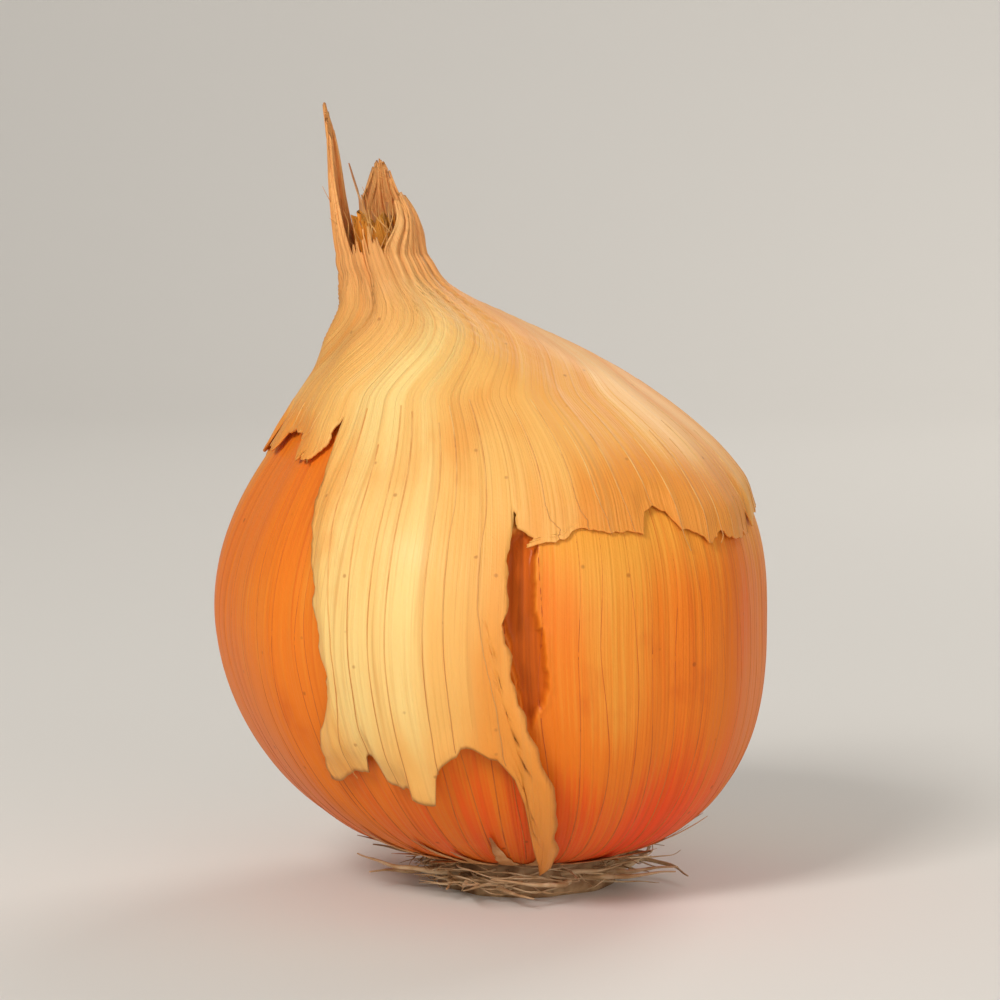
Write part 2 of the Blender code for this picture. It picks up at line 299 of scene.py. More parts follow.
@dataclass(frozen=True)
class Side:
    """The upright bulb's side, from the foot's rim up to the neck's tip.

    It is one smooth curve, whose handles, falls and rises say how it leaves each of its points.
    Slopes are eased over a stretch of it, for what is lifted off it.
    """

    body_radius: float = 9.65 * MM
    waist_height: float = 9.9 * MM
    foot_radius: float = 3.3 * MM
    foot_height: float = FOOT_HEIGHT
    shoulder_radius: float = 5.6 * MM
    shoulder_height: float = SHOULDER_HEIGHT
    neck_radius: float = 0.8 * MM
    neck_height: float = NECK_HEIGHT
    tip_radius: float = 0.5 * MM
    tip_height: float = 23.9 * MM
    foot_handle: tuple[float, float] = (3.6 * MM, 0.6 * MM)
    waist_fall: float = 4.9 * MM
    waist_rise: float = 3.9 * MM
    shoulder_handle: tuple[float, float] = (2.1 * MM, -2.0 * MM)
    neck_fall: float = 1.1 * MM
    tip_rise: float = 0.7 * MM
    steps: int = 80
    eased_over: float = 1.3 * MM
    eased_samples: int = 5

    def outline(self) -> np.ndarray:
        """Points (radius, height) up the side, close together."""
        foot = Vector((self.foot_radius, self.foot_height))
        waist = Vector((self.body_radius, self.waist_height))
        shoulder = Vector((self.shoulder_radius, self.shoulder_height))
        neck = Vector((self.neck_radius, self.neck_height))
        tip = Vector((self.tip_radius, self.tip_height))
        fall = Vector(self.shoulder_handle)
        rise = Vector((0.0, self.tip_rise))
        spans = (
            (foot, foot + Vector(self.foot_handle), waist - Vector((0.0, self.waist_fall)), waist),
            (waist, waist + Vector((0.0, self.waist_rise)), shoulder + fall, shoulder),
            (shoulder, shoulder - fall, neck - Vector((0.0, self.neck_fall)), neck),
            (neck, neck + rise, tip - rise, tip),
        )
        points = [point for span in spans for point in interpolate_bezier(*span, self.steps + 1)[:-1]]
        return np.array([(point.x, point.y) for point in points + [tip]])

    def even_heights(self, count: int) -> np.ndarray:
        """Heights of points that are evenly spaced up the side."""
        outline = self.outline()
        gaps = np.linalg.norm(np.diff(outline, axis=0), axis=1)
        run = np.concatenate([[0.0], np.cumsum(gaps)])
        return np.interp(np.linspace(0.0, run[-1], count), run, outline[:, 1])

    def lifted(self, heights: np.ndarray, lifts: np.ndarray) -> tuple[np.ndarray, np.ndarray]:
        """Places lifted about square off the side, without bunching up in the neck's corner.

        Args:
            heights: Heights on the side.
            lifts: How far each place is lifted.

        Returns:
            The places' radii and heights.
        """
        outline = self.outline()
        slopes = np.gradient(outline, axis=0)
        slopes /= np.linalg.norm(slopes, axis=1)[:, None]
        around = outline[:, 1:] + np.linspace(-self.eased_over, self.eased_over, self.eased_samples)
        eased_slopes = [np.interp(around, outline[:, 1], row).mean(axis=1) for row in slopes.T]
        radii, out, up = (np.interp(heights, outline[:, 1], row) for row in (outline[:, 0], *eased_slopes))
        return radii + up * lifts, heights - out * lifts


GROWTH = Growth()
SIDE = Side()


def add_attribute(mesh: bpy.types.Mesh, name: str, values: np.ndarray) -> None:
    """Gives each of a mesh's points a value, or a vector of three.

    Args:
        mesh: The mesh.
        name: Name that its material reads.
        values: One value or vector a point.
    """
    kind, key = ("FLOAT_VECTOR", "vector") if values.ndim == 2 else ("FLOAT", "value")
    layer = mesh.attributes.new(name, kind, "POINT")
    layer.data.foreach_set(key, values.astype(np.float32).ravel())


def with_poles(values: np.ndarray) -> np.ndarray:
    """Values by ring and column, in one row, with the means of the first and last ring added."""
    flat = values.reshape(-1, *values.shape[2:])
    return np.concatenate([flat, values[:1].mean(axis=1), values[-1:].mean(axis=1)])


def closed_mesh(name: str, places: np.ndarray, values: dict[str, np.ndarray]) -> bpy.types.Mesh:
    """A mesh from rings of points, closed at both ends.

    Args:
        name: Name of the mesh.
        places: Places by ring and column, anticlockwise and from the bottom up.
        values: Attributes by ring and column, under their names.

    Returns:
        The mesh.
    """
    rings, columns = places.shape[:2]
    here = np.arange(rings * columns).reshape(rings, columns)
    after = np.roll(here, -1, axis=1)
    quads = np.stack([here[:-1], after[:-1], after[1:], here[1:]], axis=-1).reshape(-1, 4)
    foot, top = np.full(columns, rings * columns), np.full(columns, rings * columns + 1)
    caps = np.concatenate([np.stack([after[0], here[0], foot], 1), np.stack([here[-1], after[-1], top], 1)])
    mesh = bpy.data.meshes.new(name)
    mesh.from_pydata(with_poles(places).tolist(), [], quads.tolist() + caps.tolist())
    for key, value in values.items():
        add_attribute(mesh, key, with_poles(value))
    return mesh


def mesh_object(name: str, mesh: bpy.types.Mesh, finish: bpy.types.Material) -> bpy.types.Object:
    """An object at the origin, in its finish and shaded smooth.

    Args:
        name: Name of the piece.
        mesh: Its mesh, with its place in its points.
        finish: Its material.

    Returns:
        The object, in the scene.
    """
    mesh.materials.clear()
    mesh.materials.append(finish)
    mesh.shade_smooth()
    made = bpy.data.objects.new(name, mesh)
    bpy.context.scene.collection.objects.link(made)
    return made


def settle(piece: bpy.types.Object, slot: Slot, *nodes: str) -> None:
    """Makes a finished piece part of the object.

    Args:
        piece: The piece.
        slot: Slot of the record that its finish stands for. It is not used.
        nodes: Solids that it stands for, if any.
    """
    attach(piece, ROOT_BODY)
    if nodes:
        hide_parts(*nodes)
    LOG.info("%s: %d faces", piece.name, len(piece.data.polygons))


class Sockets:
    """A node tree with short ways to add and join its nodes."""

    def __init__(self, tree: bpy.types.NodeTree) -> None:
        """Keeps the tree that nodes are added to."""
        self.tree = tree

    def put(self, value: object, socket: bpy.types.NodeSocket) -> None:
        """Gives an input its value, or joins another node's output to it."""
        if isinstance(value, bpy.types.NodeSocket):
            self.tree.links.new(value, socket)
        else:
            socket.default_value = value

    def add(self, kind: str, inputs: dict | None = None, **settings: object) -> bpy.types.Node:
        """Adds a node.

        Args:
            kind: Blender's name for the kind of node.
            inputs: What each input takes, under the input's name or number.
            settings: The node's own settings.

        Returns:
            The node.
        """
        node = self.tree.nodes.new(kind)
        for name, value in settings.items():
            setattr(node, name, value)
        for key, value in (inputs or {}).items():
            self.put(value, node.inputs[key])
        return node

    def calc(self, operation: str, *values: object) -> bpy.types.NodeSocket:
        """One step of arithmetic on values or sockets."""
        return self.add("ShaderNodeMath", dict(enumerate(values)), operation=operation).outputs[0]

    def vector(self, operation: str, *values: object) -> bpy.types.NodeSocket:
        """One step of arithmetic on vectors."""
        return self.add("ShaderNodeVectorMath", dict(enumerate(values)), operation=operation).outputs[0]

    def noise(self, place: object, scale: object, detail: float) -> bpy.types.NodeSocket:
        """A noise texture's value at a place."""
        inputs = {"Vector": place, "Scale": scale, "Detail": detail}
        return self.add("ShaderNodeTexNoise", inputs).outputs["Fac"]

    def ramp(self, value: object, low: float, high: float, top: float = 1.0) -> bpy.types.NodeSocket:
        """Rises smoothly from 0 where a value is low to the top where it is high."""
        inputs = {"Value": value, "From Min": low, "From Max": high, "To Max": top}
        return self.add("ShaderNodeMapRange", inputs, interpolation_type="SMOOTHSTEP").outputs[0]

    def blend(self, factor: object, first: object, second: object) -> bpy.types.NodeSocket:
        """The first colour where the factor is 0 and the second where it is 1."""
        node = self.add("ShaderNodeMix", data_type="RGBA")
        for number, value in ((0, factor), (6, first), (7, second)):
            self.put(value, node.inputs[number])
        return node.outputs[2]


def shader_group(
    name: str, inputs: dict[str, str], outputs: tuple[str, ...], fill: Callable[..., dict]
) -> bpy.types.NodeTree:
    """A shader node group whose outputs are values.

    Args:
        name: Name of the group.
        inputs: The kind of each input's socket, under its name.
        outputs: Names of its outputs.
        fill: Adds the nodes. It takes the Sockets and the inputs, and gives the outputs.

    Returns:
        The group's tree.
    """
    tree = bpy.data.node_groups.new(name, "ShaderNodeTree")
    for key, kind in inputs.items():
        tree.interface.new_socket(key, in_out="INPUT", socket_type=kind)
    for key in outputs:
        tree.interface.new_socket(key, in_out="OUTPUT", socket_type="NodeSocketFloat")
    nodes = Sockets(tree)
    given = nodes.add("NodeGroupInput").outputs
    nodes.add("NodeGroupOutput", fill(nodes, given))
    return tree


def fill_streaks(nodes: Sockets, given: bpy.types.NodeOutputs) -> dict[str, bpy.types.NodeSocket]:
    """Streaks, hair-fine lines and blotches that follow a skin's fibres."""

    def drawn_out(around: object, along: object) -> bpy.types.NodeSocket:
        """The grain's coordinates, scaled round the bulb and along it."""
        scale = nodes.add("ShaderNodeCombineXYZ", {0: around, 1: around, 2: along}).outputs[0]
        return nodes.vector("MULTIPLY", given["Grain"], scale)

    around, along = given["Around"], given["Along"]
    fine_around = nodes.calc("MULTIPLY", around, FINE_TIMES)
    hair_around = nodes.calc("MULTIPLY", around, HAIR_TIMES)
    return {
        "Broad": nodes.noise(drawn_out(around, along), 1.0, 3.0),
        "Fine": nodes.noise(drawn_out(fine_around, along), 1.0, 2.0),
        "Hair": nodes.noise(drawn_out(hair_around, HAIR_ALONG), 1.0, 1.0),
        "Blotch": nodes.noise(drawn_out(BLOTCH_AROUND, BLOTCH_ALONG), 1.0, 4.0),
    }


def fill_specks(nodes: Sockets, given: bpy.types.NodeOutputs) -> dict[str, bpy.types.NodeSocket]:
    """Small scattered specks, and the fine tooth of dry tissue."""
    inputs = {"Vector": given["Vector"], "Scale": given["Scale"]}
    cells = nodes.add("ShaderNodeTexVoronoi", inputs)
    chosen = nodes.add("ShaderNodeSeparateColor", {0: cells.outputs["Color"]}).outputs[0]
    few = nodes.calc("LESS_THAN", chosen, given["Amount"])
    spot = nodes.calc("SUBTRACT", 1.0, nodes.ramp(cells.outputs["Distance"], SPECK_CORE, SPECK_RIM))
    tooth_scale = nodes.calc("MULTIPLY", given["Scale"], TOOTH_TIMES)
    return {
        "Speck": nodes.calc("MULTIPLY", few, spot),
        "Tooth": nodes.noise(given["Vector"], tooth_scale, 3.0),
    }


class Effects:
    """The shader node groups that the finishes share."""

    def __init__(self) -> None:
        """Builds the groups."""
        number, vector = "NodeSocketFloat", "NodeSocketVector"
        self.streaks = shader_group(
            "skin_streaks",
            {"Grain": vector, "Around": number, "Along": number},
            ("Broad", "Fine", "Hair", "Blotch"),
            fill_streaks,
        )
        self.specks = shader_group(
            "dry_specks",
            {"Vector": vector, "Scale": number, "Amount": number},
            ("Speck", "Tooth"),
            fill_specks,
        )


Colour = tuple[float, float, float, float]


def colour(red: float, green: float, blue: float) -> Colour:
    """An opaque colour from its linear red, green and blue."""
    return (red, green, blue, 1.0)


class Finish:
    """The start of every finish: a material with its shader, and its shared effects."""

    def __init__(self, name: str, effects: Effects) -> None:
        """Makes the material.

        Args:
            name: Name of the material.
            effects: The shared node groups.
        """
        self.material = bpy.data.materials.new(name)
        self.material.use_nodes = True
        self.nodes = Sockets(self.material.node_tree)
        self.shader = self.material.node_tree.nodes["Principled BSDF"]
        self.effects = effects

    def attribute(self, name: str, output: str = "Fac") -> bpy.types.NodeSocket:
        """One of the piece's own attributes."""
        return self.nodes.add("ShaderNodeAttribute", attribute_name=name).outputs[output]

    def object_place(self) -> bpy.types.NodeSocket:
        """The place on the piece, in metres."""
        return self.nodes.add("ShaderNodeTexCoord").outputs["Object"]

    def group(self, tree: bpy.types.NodeTree, inputs: dict) -> bpy.types.NodeOutputs:
        """The outputs of one of the shared groups, with its own values."""
        return self.nodes.add("ShaderNodeGroup", inputs, node_tree=tree).outputs

    def surface(self, shade: object, rough: object) -> None:
        """Joins the colour and the roughness to the shader."""
        self.nodes.put(shade, self.shader.inputs["Base Color"])
        self.nodes.put(rough, self.shader.inputs["Roughness"])

    def bump(self, *heights: tuple[bpy.types.NodeSocket, float]) -> None:
        """Joins a chain of bumps to the shader's normal.

        Args:
            heights: For each bump, its height from 0 to 1 and how far 1 stands out.
        """
        inputs: dict[str, object] = {}
        for height, distance in heights:
            inputs |= {"Height": height, "Distance": distance}
            inputs["Normal"] = self.nodes.add("ShaderNodeBump", inputs).outputs["Normal"]
        self.nodes.put(inputs["Normal"], self.shader.inputs["Normal"])

    def constants(self, **values: float) -> None:
        """Sets inputs of the shader that are the same all over, by their names."""
        for key, value in values.items():
            self.shader.inputs[key.replace("_", " ").title().replace("Ior", "IOR")].default_value = value


class TightSkin(Finish):
    """The tight inner skin: glossy golden orange, streaked along its fibres."""

    GOLD = colour(0.80, 0.330, 0.040)
    ORANGE = colour(0.78, 0.185, 0.009)
    RED = colour(0.82, 0.062, 0.002)
    DEEP = colour(0.56, 0.075, 0.003)
    # The crack's colour: partly the deeper skin bared in the split, partly painted shade inside it
    SPLIT = colour(0.56, 0.108, 0.003)
    SPECK = colour(0.24, 0.040, 0.003)

    def __init__(self, effects: Effects) -> None:
        """Builds the finish."""
        super().__init__("tight_skin", effects)
        nodes = self.nodes
        grain, tone = self.attribute(GRAIN, "Vector"), self.attribute(TONE)
        streaks = self.group(effects.streaks, {"Grain": grain, "Around": 7.0, "Along": 0.8})
        uneven = nodes.calc("MULTIPLY_ADD", streaks["Broad"], 0.50, -0.25)
        mottled = nodes.calc("ADD", tone, uneven)
        mottled = nodes.calc("ADD", mottled, nodes.ramp(streaks["Hair"], 0.4, 0.7, 0.1))
        shade = nodes.blend(nodes.ramp(mottled, 0.05, 0.45), self.RED, self.ORANGE)
        shade = nodes.blend(nodes.ramp(mottled, 0.50, 0.95), shade, self.GOLD)
        shade = nodes.blend(nodes.ramp(streaks["Fine"], 0.54, 0.72, 0.45), shade, self.DEEP)
        shade = nodes.blend(nodes.ramp(streaks["Blotch"], 0.60, 0.78, 0.5), shade, self.DEEP)
        # Darkens the crack: partly the deeper skin in the split, partly painted shade in it, with the speck
        # colour streaked in
        torn = nodes.blend(nodes.ramp(streaks["Fine"], 0.42, 0.66, 0.5), self.SPLIT, self.SPECK)
        shade = nodes.blend(self.attribute(CRACK), shade, torn)
        specks = self.group(effects.specks, {"Vector": self.object_place(), "Scale": 2600.0, "Amount": 0.02})
        shade = nodes.blend(nodes.calc("MULTIPLY", specks["Speck"], 0.5), shade, self.SPECK)
        smooth = nodes.calc("MULTIPLY_ADD", streaks["Fine"], 0.26, 0.42)
        self.surface(shade, nodes.calc("MULTIPLY_ADD", self.attribute(CRACK), 0.3, smooth))
        self.bump(
            (streaks["Fine"], 0.05 * MM),
            (streaks["Hair"], 0.03 * MM),
            (specks["Tooth"], 0.010 * MM),
        )
        self.constants(coat_weight=0.10, coat_roughness=0.20, specular_ior_level=0.20)
        self.constants(subsurface_weight=0.06, subsurface_scale=0.6 * MM)


class PaperySkin(Finish):
    """The loose outer skin: pale straw gold, papery, darker where it is torn."""

    STRAW = colour(0.90, 0.61, 0.220)
    GOLD = colour(0.86, 0.44, 0.115)
    AMBER = colour(0.79, 0.280, 0.040)
    TAN = colour(0.62, 0.27, 0.060)
    NECK = colour(0.79, 0.340, 0.110)
    TORN = colour(0.40, 0.130, 0.025)

    def __init__(self, effects: Effects) -> None:
        """Builds the finish."""
        super().__init__("papery_skin", effects)
        nodes = self.nodes
        grain, tone = self.attribute(GRAIN, "Vector"), self.attribute(TONE)
        height = nodes.add("ShaderNodeSeparateXYZ", {0: grain}).outputs[2]
        streaks = self.group(effects.streaks, {"Grain": grain, "Around": 8.0, "Along": 1.0})
        mottled = nodes.calc("ADD", tone, nodes.calc("MULTIPLY_ADD", streaks["Broad"], 0.70, -0.35))
        shade = nodes.blend(nodes.ramp(mottled, 0.10, 0.50), self.STRAW, self.GOLD)
        shade = nodes.blend(nodes.ramp(mottled, 0.50, 1.0), shade, self.AMBER)
        shade = nodes.blend(nodes.ramp(streaks["Fine"], 0.53, 0.74, 0.42), shade, self.TAN)
        shade = nodes.blend(nodes.ramp(streaks["Hair"], 0.56, 0.76, 0.26), shade, self.TAN)
        shade = nodes.blend(nodes.ramp(streaks["Blotch"], 0.58, 0.76, 0.5), shade, self.AMBER)
        wavy = nodes.calc("MULTIPLY_ADD", streaks["Fine"], 0.3, height)
        shade = nodes.blend(nodes.ramp(wavy, 2.0, 2.45, 0.75), shade, self.NECK)
        shade = nodes.blend(nodes.ramp(self.attribute(EDGE), 0.5, 1.0, 0.60), shade, self.TORN)
        specks = self.group(effects.specks, {"Vector": self.object_place(), "Scale": 2900.0, "Amount": 0.03})
        shade = nodes.blend(nodes.calc("MULTIPLY", specks["Speck"], 0.55), shade, self.TORN)
        self.surface(shade, nodes.calc("MULTIPLY_ADD", streaks["Broad"], 0.25, 0.40))
        self.bump(
            (streaks["Fine"], 0.05 * MM),
            (streaks["Hair"], 0.035 * MM),
            (specks["Tooth"], 0.012 * MM),
        )
        self.constants(coat_weight=0.04, coat_roughness=0.25, specular_ior_level=0.30)
        self.constants(subsurface_weight=0.10, subsurface_scale=0.6 * MM)


@dataclass(frozen=True)
class Tones:
    """The three colours of a dry tissue, from its palest to its darkest."""

    pale: Colour
    middle: Colour
    dark: Colour


class DryTissue(Finish):
    """Dried leaves, fibres, roots or cork: matte, mottled, darker towards their ends."""

    def __init__(
        self, effects: Effects, name: str, tones: Tones, darker: float, upright: float = 1.0
    ) -> None:
        """Builds the finish.

        Args:
            effects: The shared node groups.
            name: Name of the material.
            tones: Its colours.
            darker: Share of the dark colour in it.
            upright: Below 1, its mottling is drawn out upwards.
        """
        super().__init__(name, effects)
        nodes = self.nodes
        place = self.object_place()
        drawn_out = nodes.vector("MULTIPLY", place, (1.0, 1.0, upright))
        patch = nodes.noise(drawn_out, 1300.0, 4.0)
        shade = nodes.blend(nodes.ramp(patch, 0.35, 0.65), tones.pale, tones.middle)
        shade = nodes.blend(nodes.ramp(patch, 0.62 - 0.25 * darker, 0.82, darker), shade, tones.dark)
        shade = nodes.blend(nodes.ramp(self.attribute(ALONG), 0.40, 1.0, 0.6), shade, tones.dark)
        specks = self.group(effects.specks, {"Vector": place, "Scale": 3200.0, "Amount": 0.15})
        shade = nodes.blend(nodes.calc("MULTIPLY", specks["Speck"], 0.6), shade, tones.dark)
        self.surface(shade, nodes.calc("MULTIPLY_ADD", patch, 0.3, 0.5))
        self.bump((patch, 0.08 * MM), (specks["Tooth"], 0.015 * MM))
        self.constants(specular_ior_level=0.35)


class Dry(Enum):
    """The dry tissues, each with its name, its tones, its share of dark and its upright draw."""

    LEAF = (
        "withered_leaf",
        Tones(colour(0.80, 0.47, 0.210), colour(0.58, 0.25, 0.075), colour(0.30, 0.085, 0.022)),
        0.4,
        0.25,
    )
    FIBRE = (
        "papery_fibre",
        Tones(colour(0.80, 0.45, 0.140), colour(0.68, 0.31, 0.080), colour(0.45, 0.160, 0.035)),
        0.3,
        0.3,
    )
    VEIN = (
        "tight_vein",
        Tones(colour(0.62, 0.150, 0.014), colour(0.50, 0.095, 0.009), colour(0.38, 0.055, 0.006)),
        0.3,
        0.3,
    )
    ROOT = (
        "dry_root",
        Tones(colour(0.70, 0.52, 0.320), colour(0.50, 0.31, 0.150), colour(0.25, 0.125, 0.050)),
        0.4,
        1.0,
    )
    CORK = (
        "corky_plate",
        Tones(colour(0.46, 0.29, 0.150), colour(0.31, 0.165, 0.070), colour(0.14, 0.062, 0.025)),
        0.8,
        1.0,
    )

    def finish(self, effects: Effects) -> DryTissue:
        """Builds the tissue's finish."""
        return DryTissue(effects, *self.value)


@dataclass(frozen=True)
class Crack:
    """The split in the tight skin beside the long tongue. Its turn is in degrees.

    It opens over a height from its low end and closes over another below its high end. It sways
    and wobbles round the bulb, in radians, and its nicks are a share of its width.
    """

    turn: float = -83.7
    half_width: float = 0.62 * MM
    least_share: float = 0.12
    depth: float = 0.34 * MM
    rim_share: float = 0.80
    low: float = 6.8 * MM
    high: float = 13.9 * MM
    opening: float = 2.2 * MM
    closing: float = 0.8 * MM
    sway: float = 0.020
    sway_length: float = 1.1 * MM
    wobble: float = 0.014
    wobble_length: float = 0.5 * MM
    nick: float = 0.22
    nick_length: float = 0.22 * MM
    lip_height: float = 0.07 * MM
    lip_width: float = 0.16 * MM

    def shape(self, turns: np.ndarray, heights: np.ndarray) -> tuple[np.ndarray, np.ndarray]:
        """Where the skin is split and where it is raised.

        Args:
            turns: Turns about the axis.
            heights: Heights on the upright form.

        Returns:
            How deep each place is in it and how near to its raised lip, both from 0 to 1.
        """
        wobble = self.wobble * line_noise(heights / self.wobble_length, 2.0)
        wander = self.sway * np.sin(heights / self.sway_length) + wobble
        away = (turns - math.radians(self.turn) - wander + math.pi) % FULL_TURN - math.pi
        from_low = eased(self.low, self.low + self.opening, heights)
        opened = from_low * (1.0 - eased(self.high - self.closing, self.high, heights))
        nicks = 1.0 + self.nick * line_noise(heights / self.nick_length, 6.0)
        half = self.half_width * np.maximum(self.least_share, opened**0.6 * nicks)
        across = np.abs(away) * SIDE.body_radius / half
        shown = eased(0.0, 0.25, opened)
        lip = np.exp(-(((across - 1.0) * half / self.lip_width) ** 2))
        return (1.0 - eased(self.rim_share, 1.0, across)) * shown, lip * shown


@dataclass
class BulbBody:
    """The swollen body in its tight skin, drawn up into the withered inner neck."""

    columns: int = 340
    rows: int = 225
    lift: float = 0.12 * MM
    ridge_height: float = 0.022 * MM
    dimple_height: float = 0.10 * MM
    pleat_height: float = 0.14 * MM
    torn_height: float = 0.7 * MM
    crowding: float = 0.75
    crack: Crack = Crack()
    middle_tone: float = 0.46
    blotch_tone: float = 0.24
    golden_shoulder: float = 0.42
    golden_heights: tuple[float, float] = (10.5 * MM, 15.5 * MM)
    less_golden_side: tuple[float, float] = (215.0, 40.0)
    less_golden_by: float = 0.8
    # Redder towards the bottom, most on the lower right: partly the skin's own red, partly painted red light
    # bounced from neighbouring bulbs
    red_low_and_bounce: float = 0.12
    red_heights: tuple[float, float] = (1.8 * MM, 8.5 * MM)
    red_low_right_and_bounce: Patch = Patch(0.36, -44.0, 42.0, 1.8 * MM, 8.5 * MM)
    red_left: Patch = Patch(0.20, 208.0, 24.0, 11.0 * MM, 13.5 * MM, upper=True)
    golden_beside_crack: Patch = Patch(0.26, -69.0, 11.0, 4.0 * MM, 7.5 * MM, upper=True)
    veins: int = 58
    vein_points: int = 70
    vein_sunk: float = 0.012 * MM
    seed: int = 3

    def tone(self, turns: np.ndarray, heights: np.ndarray) -> np.ndarray:
        """How golden the skin is: 0 is red, about 0.5 orange and 1 golden."""
        left = facing(turns, *self.less_golden_side) * (1.0 - GROWTH.in_neck(heights))
        shoulder = self.golden_shoulder * eased(*self.golden_heights, heights)
        shoulder = shoulder * (1.0 - self.less_golden_by * left)
        # The low red is partly the skin's own colour and partly painted red bounce light
        red = self.red_low_and_bounce * (1.0 - eased(*self.red_heights, heights))
        red = red + self.red_low_right_and_bounce.at(turns, heights) + self.red_left.at(turns, heights)
        golden = shoulder + self.golden_beside_crack.at(turns, heights)
        blotches = fibres(grain_at(turns, heights), 1.8, 1.2, 17.0)
        return self.middle_tone + golden - red + self.blotch_tone * blotches

    def surface(self, turns: np.ndarray, heights: np.ndarray) -> tuple[np.ndarray, np.ndarray]:
        """The skin's radii and heights, with its relief.

        Args:
            turns: Turns about the axis.
            heights: Heights on the upright form.

        Returns:
            The radii and heights.
        """
        grain = GROWTH.grain(turns, heights)
        on_side = eased(SIDE.foot_height, SIDE.foot_height + 1.2 * MM, heights)
        relief = self.ridge_height * ridges(grain, 9.0, 0.5, 3.0)
        relief = relief + self.dimple_height * fibres(grain, 2.2, 1.6, 8.0)
        pleats = ridges(grain, 5.0, 0.4, 5.0) * GROWTH.in_neck(heights)
        depth, lip = self.crack.shape(turns, heights)
        relief = relief + self.pleat_height * pleats
        relief = relief - self.crack.depth * depth + self.crack.lip_height * lip
        return SIDE.lifted(heights, self.lift + on_side * relief)

    def build(self, finish: Finish) -> bpy.types.Object:
        """Builds the piece.

        Args:
            finish: Its finish.

        Returns:
            The piece, a closed mesh.
        """
        around = np.arange(self.columns) * FULL_TURN / self.columns
        around = around - self.crowding * np.sin(around - math.radians(self.crack.turn))
        turns, heights = np.meshgrid(around, SIDE.even_heights(self.rows))
        grain = GROWTH.grain(turns, heights)
        radii, lifted = self.surface(turns, heights)
        near_top = eased(GROWTH.neck_height, SIDE.tip_height, heights)
        lifted = lifted + near_top * self.torn_height * fibres(grain, 4.0, 0.0, 12.0)
        depth, _ = self.crack.shape(turns, heights)
        values = {GRAIN: grain, TONE: self.tone(turns, heights), CRACK: depth}
        mesh = closed_mesh("bulb_body", GROWTH.place(turns, radii, lifted), values)
        return mesh_object("bulb_body", mesh, finish.material)

    def vein_lines(self) -> list[list[Vector]]:
        """The middle lines of the raised veins, from the foot to the shoulder."""
        chance = random.Random(self.seed)
        shares = np.linspace(0.0, 1.0, self.vein_points)
        lines = []
        for number in range(self.veins):
            low = SIDE.foot_height + chance.uniform(0.1, 0.7) * MM
            high = chance.uniform(14.5, 17.8) * MM
            heights = low + (high - low) * shares
            start = FULL_TURN * (number + chance.uniform(-0.32, 0.32)) / self.veins
            turns = start + 0.03 * line_noise(heights / (4.0 * MM), number * 7.3)
            radii, lifted = self.surface(turns, heights)
            lines.append(GROWTH.line(turns, radii - self.vein_sunk, lifted))
        return lines


@dataclass(frozen=True)
class Tongue:
    """One tongue of the outer skin, from one split to the next, with the dry tip above it.

    Turns are in degrees. Each tear is (share across the tongue, half its width as a share, depth).
    A negative depth leaves a strip hanging there. A tip is (turn, height, distance from the spine,
    half width). The last sway is how far its last edge swings round at its end, and the first bow
    how far its first edge bows in halfway. Pressed is how closely its end hugs the body, from 0 to 1.
    """

    start_turn: float
    start_height: float
    end_height: float
    narrowing: float
    curl_first: float
    curl_last: float
    tears: tuple[tuple[float, float, float], ...]
    tip: tuple[float, float, float, float] | None = None
    last_sway: float = 0.0
    first_bow: float = 0.0
    pressed: float = 0.0


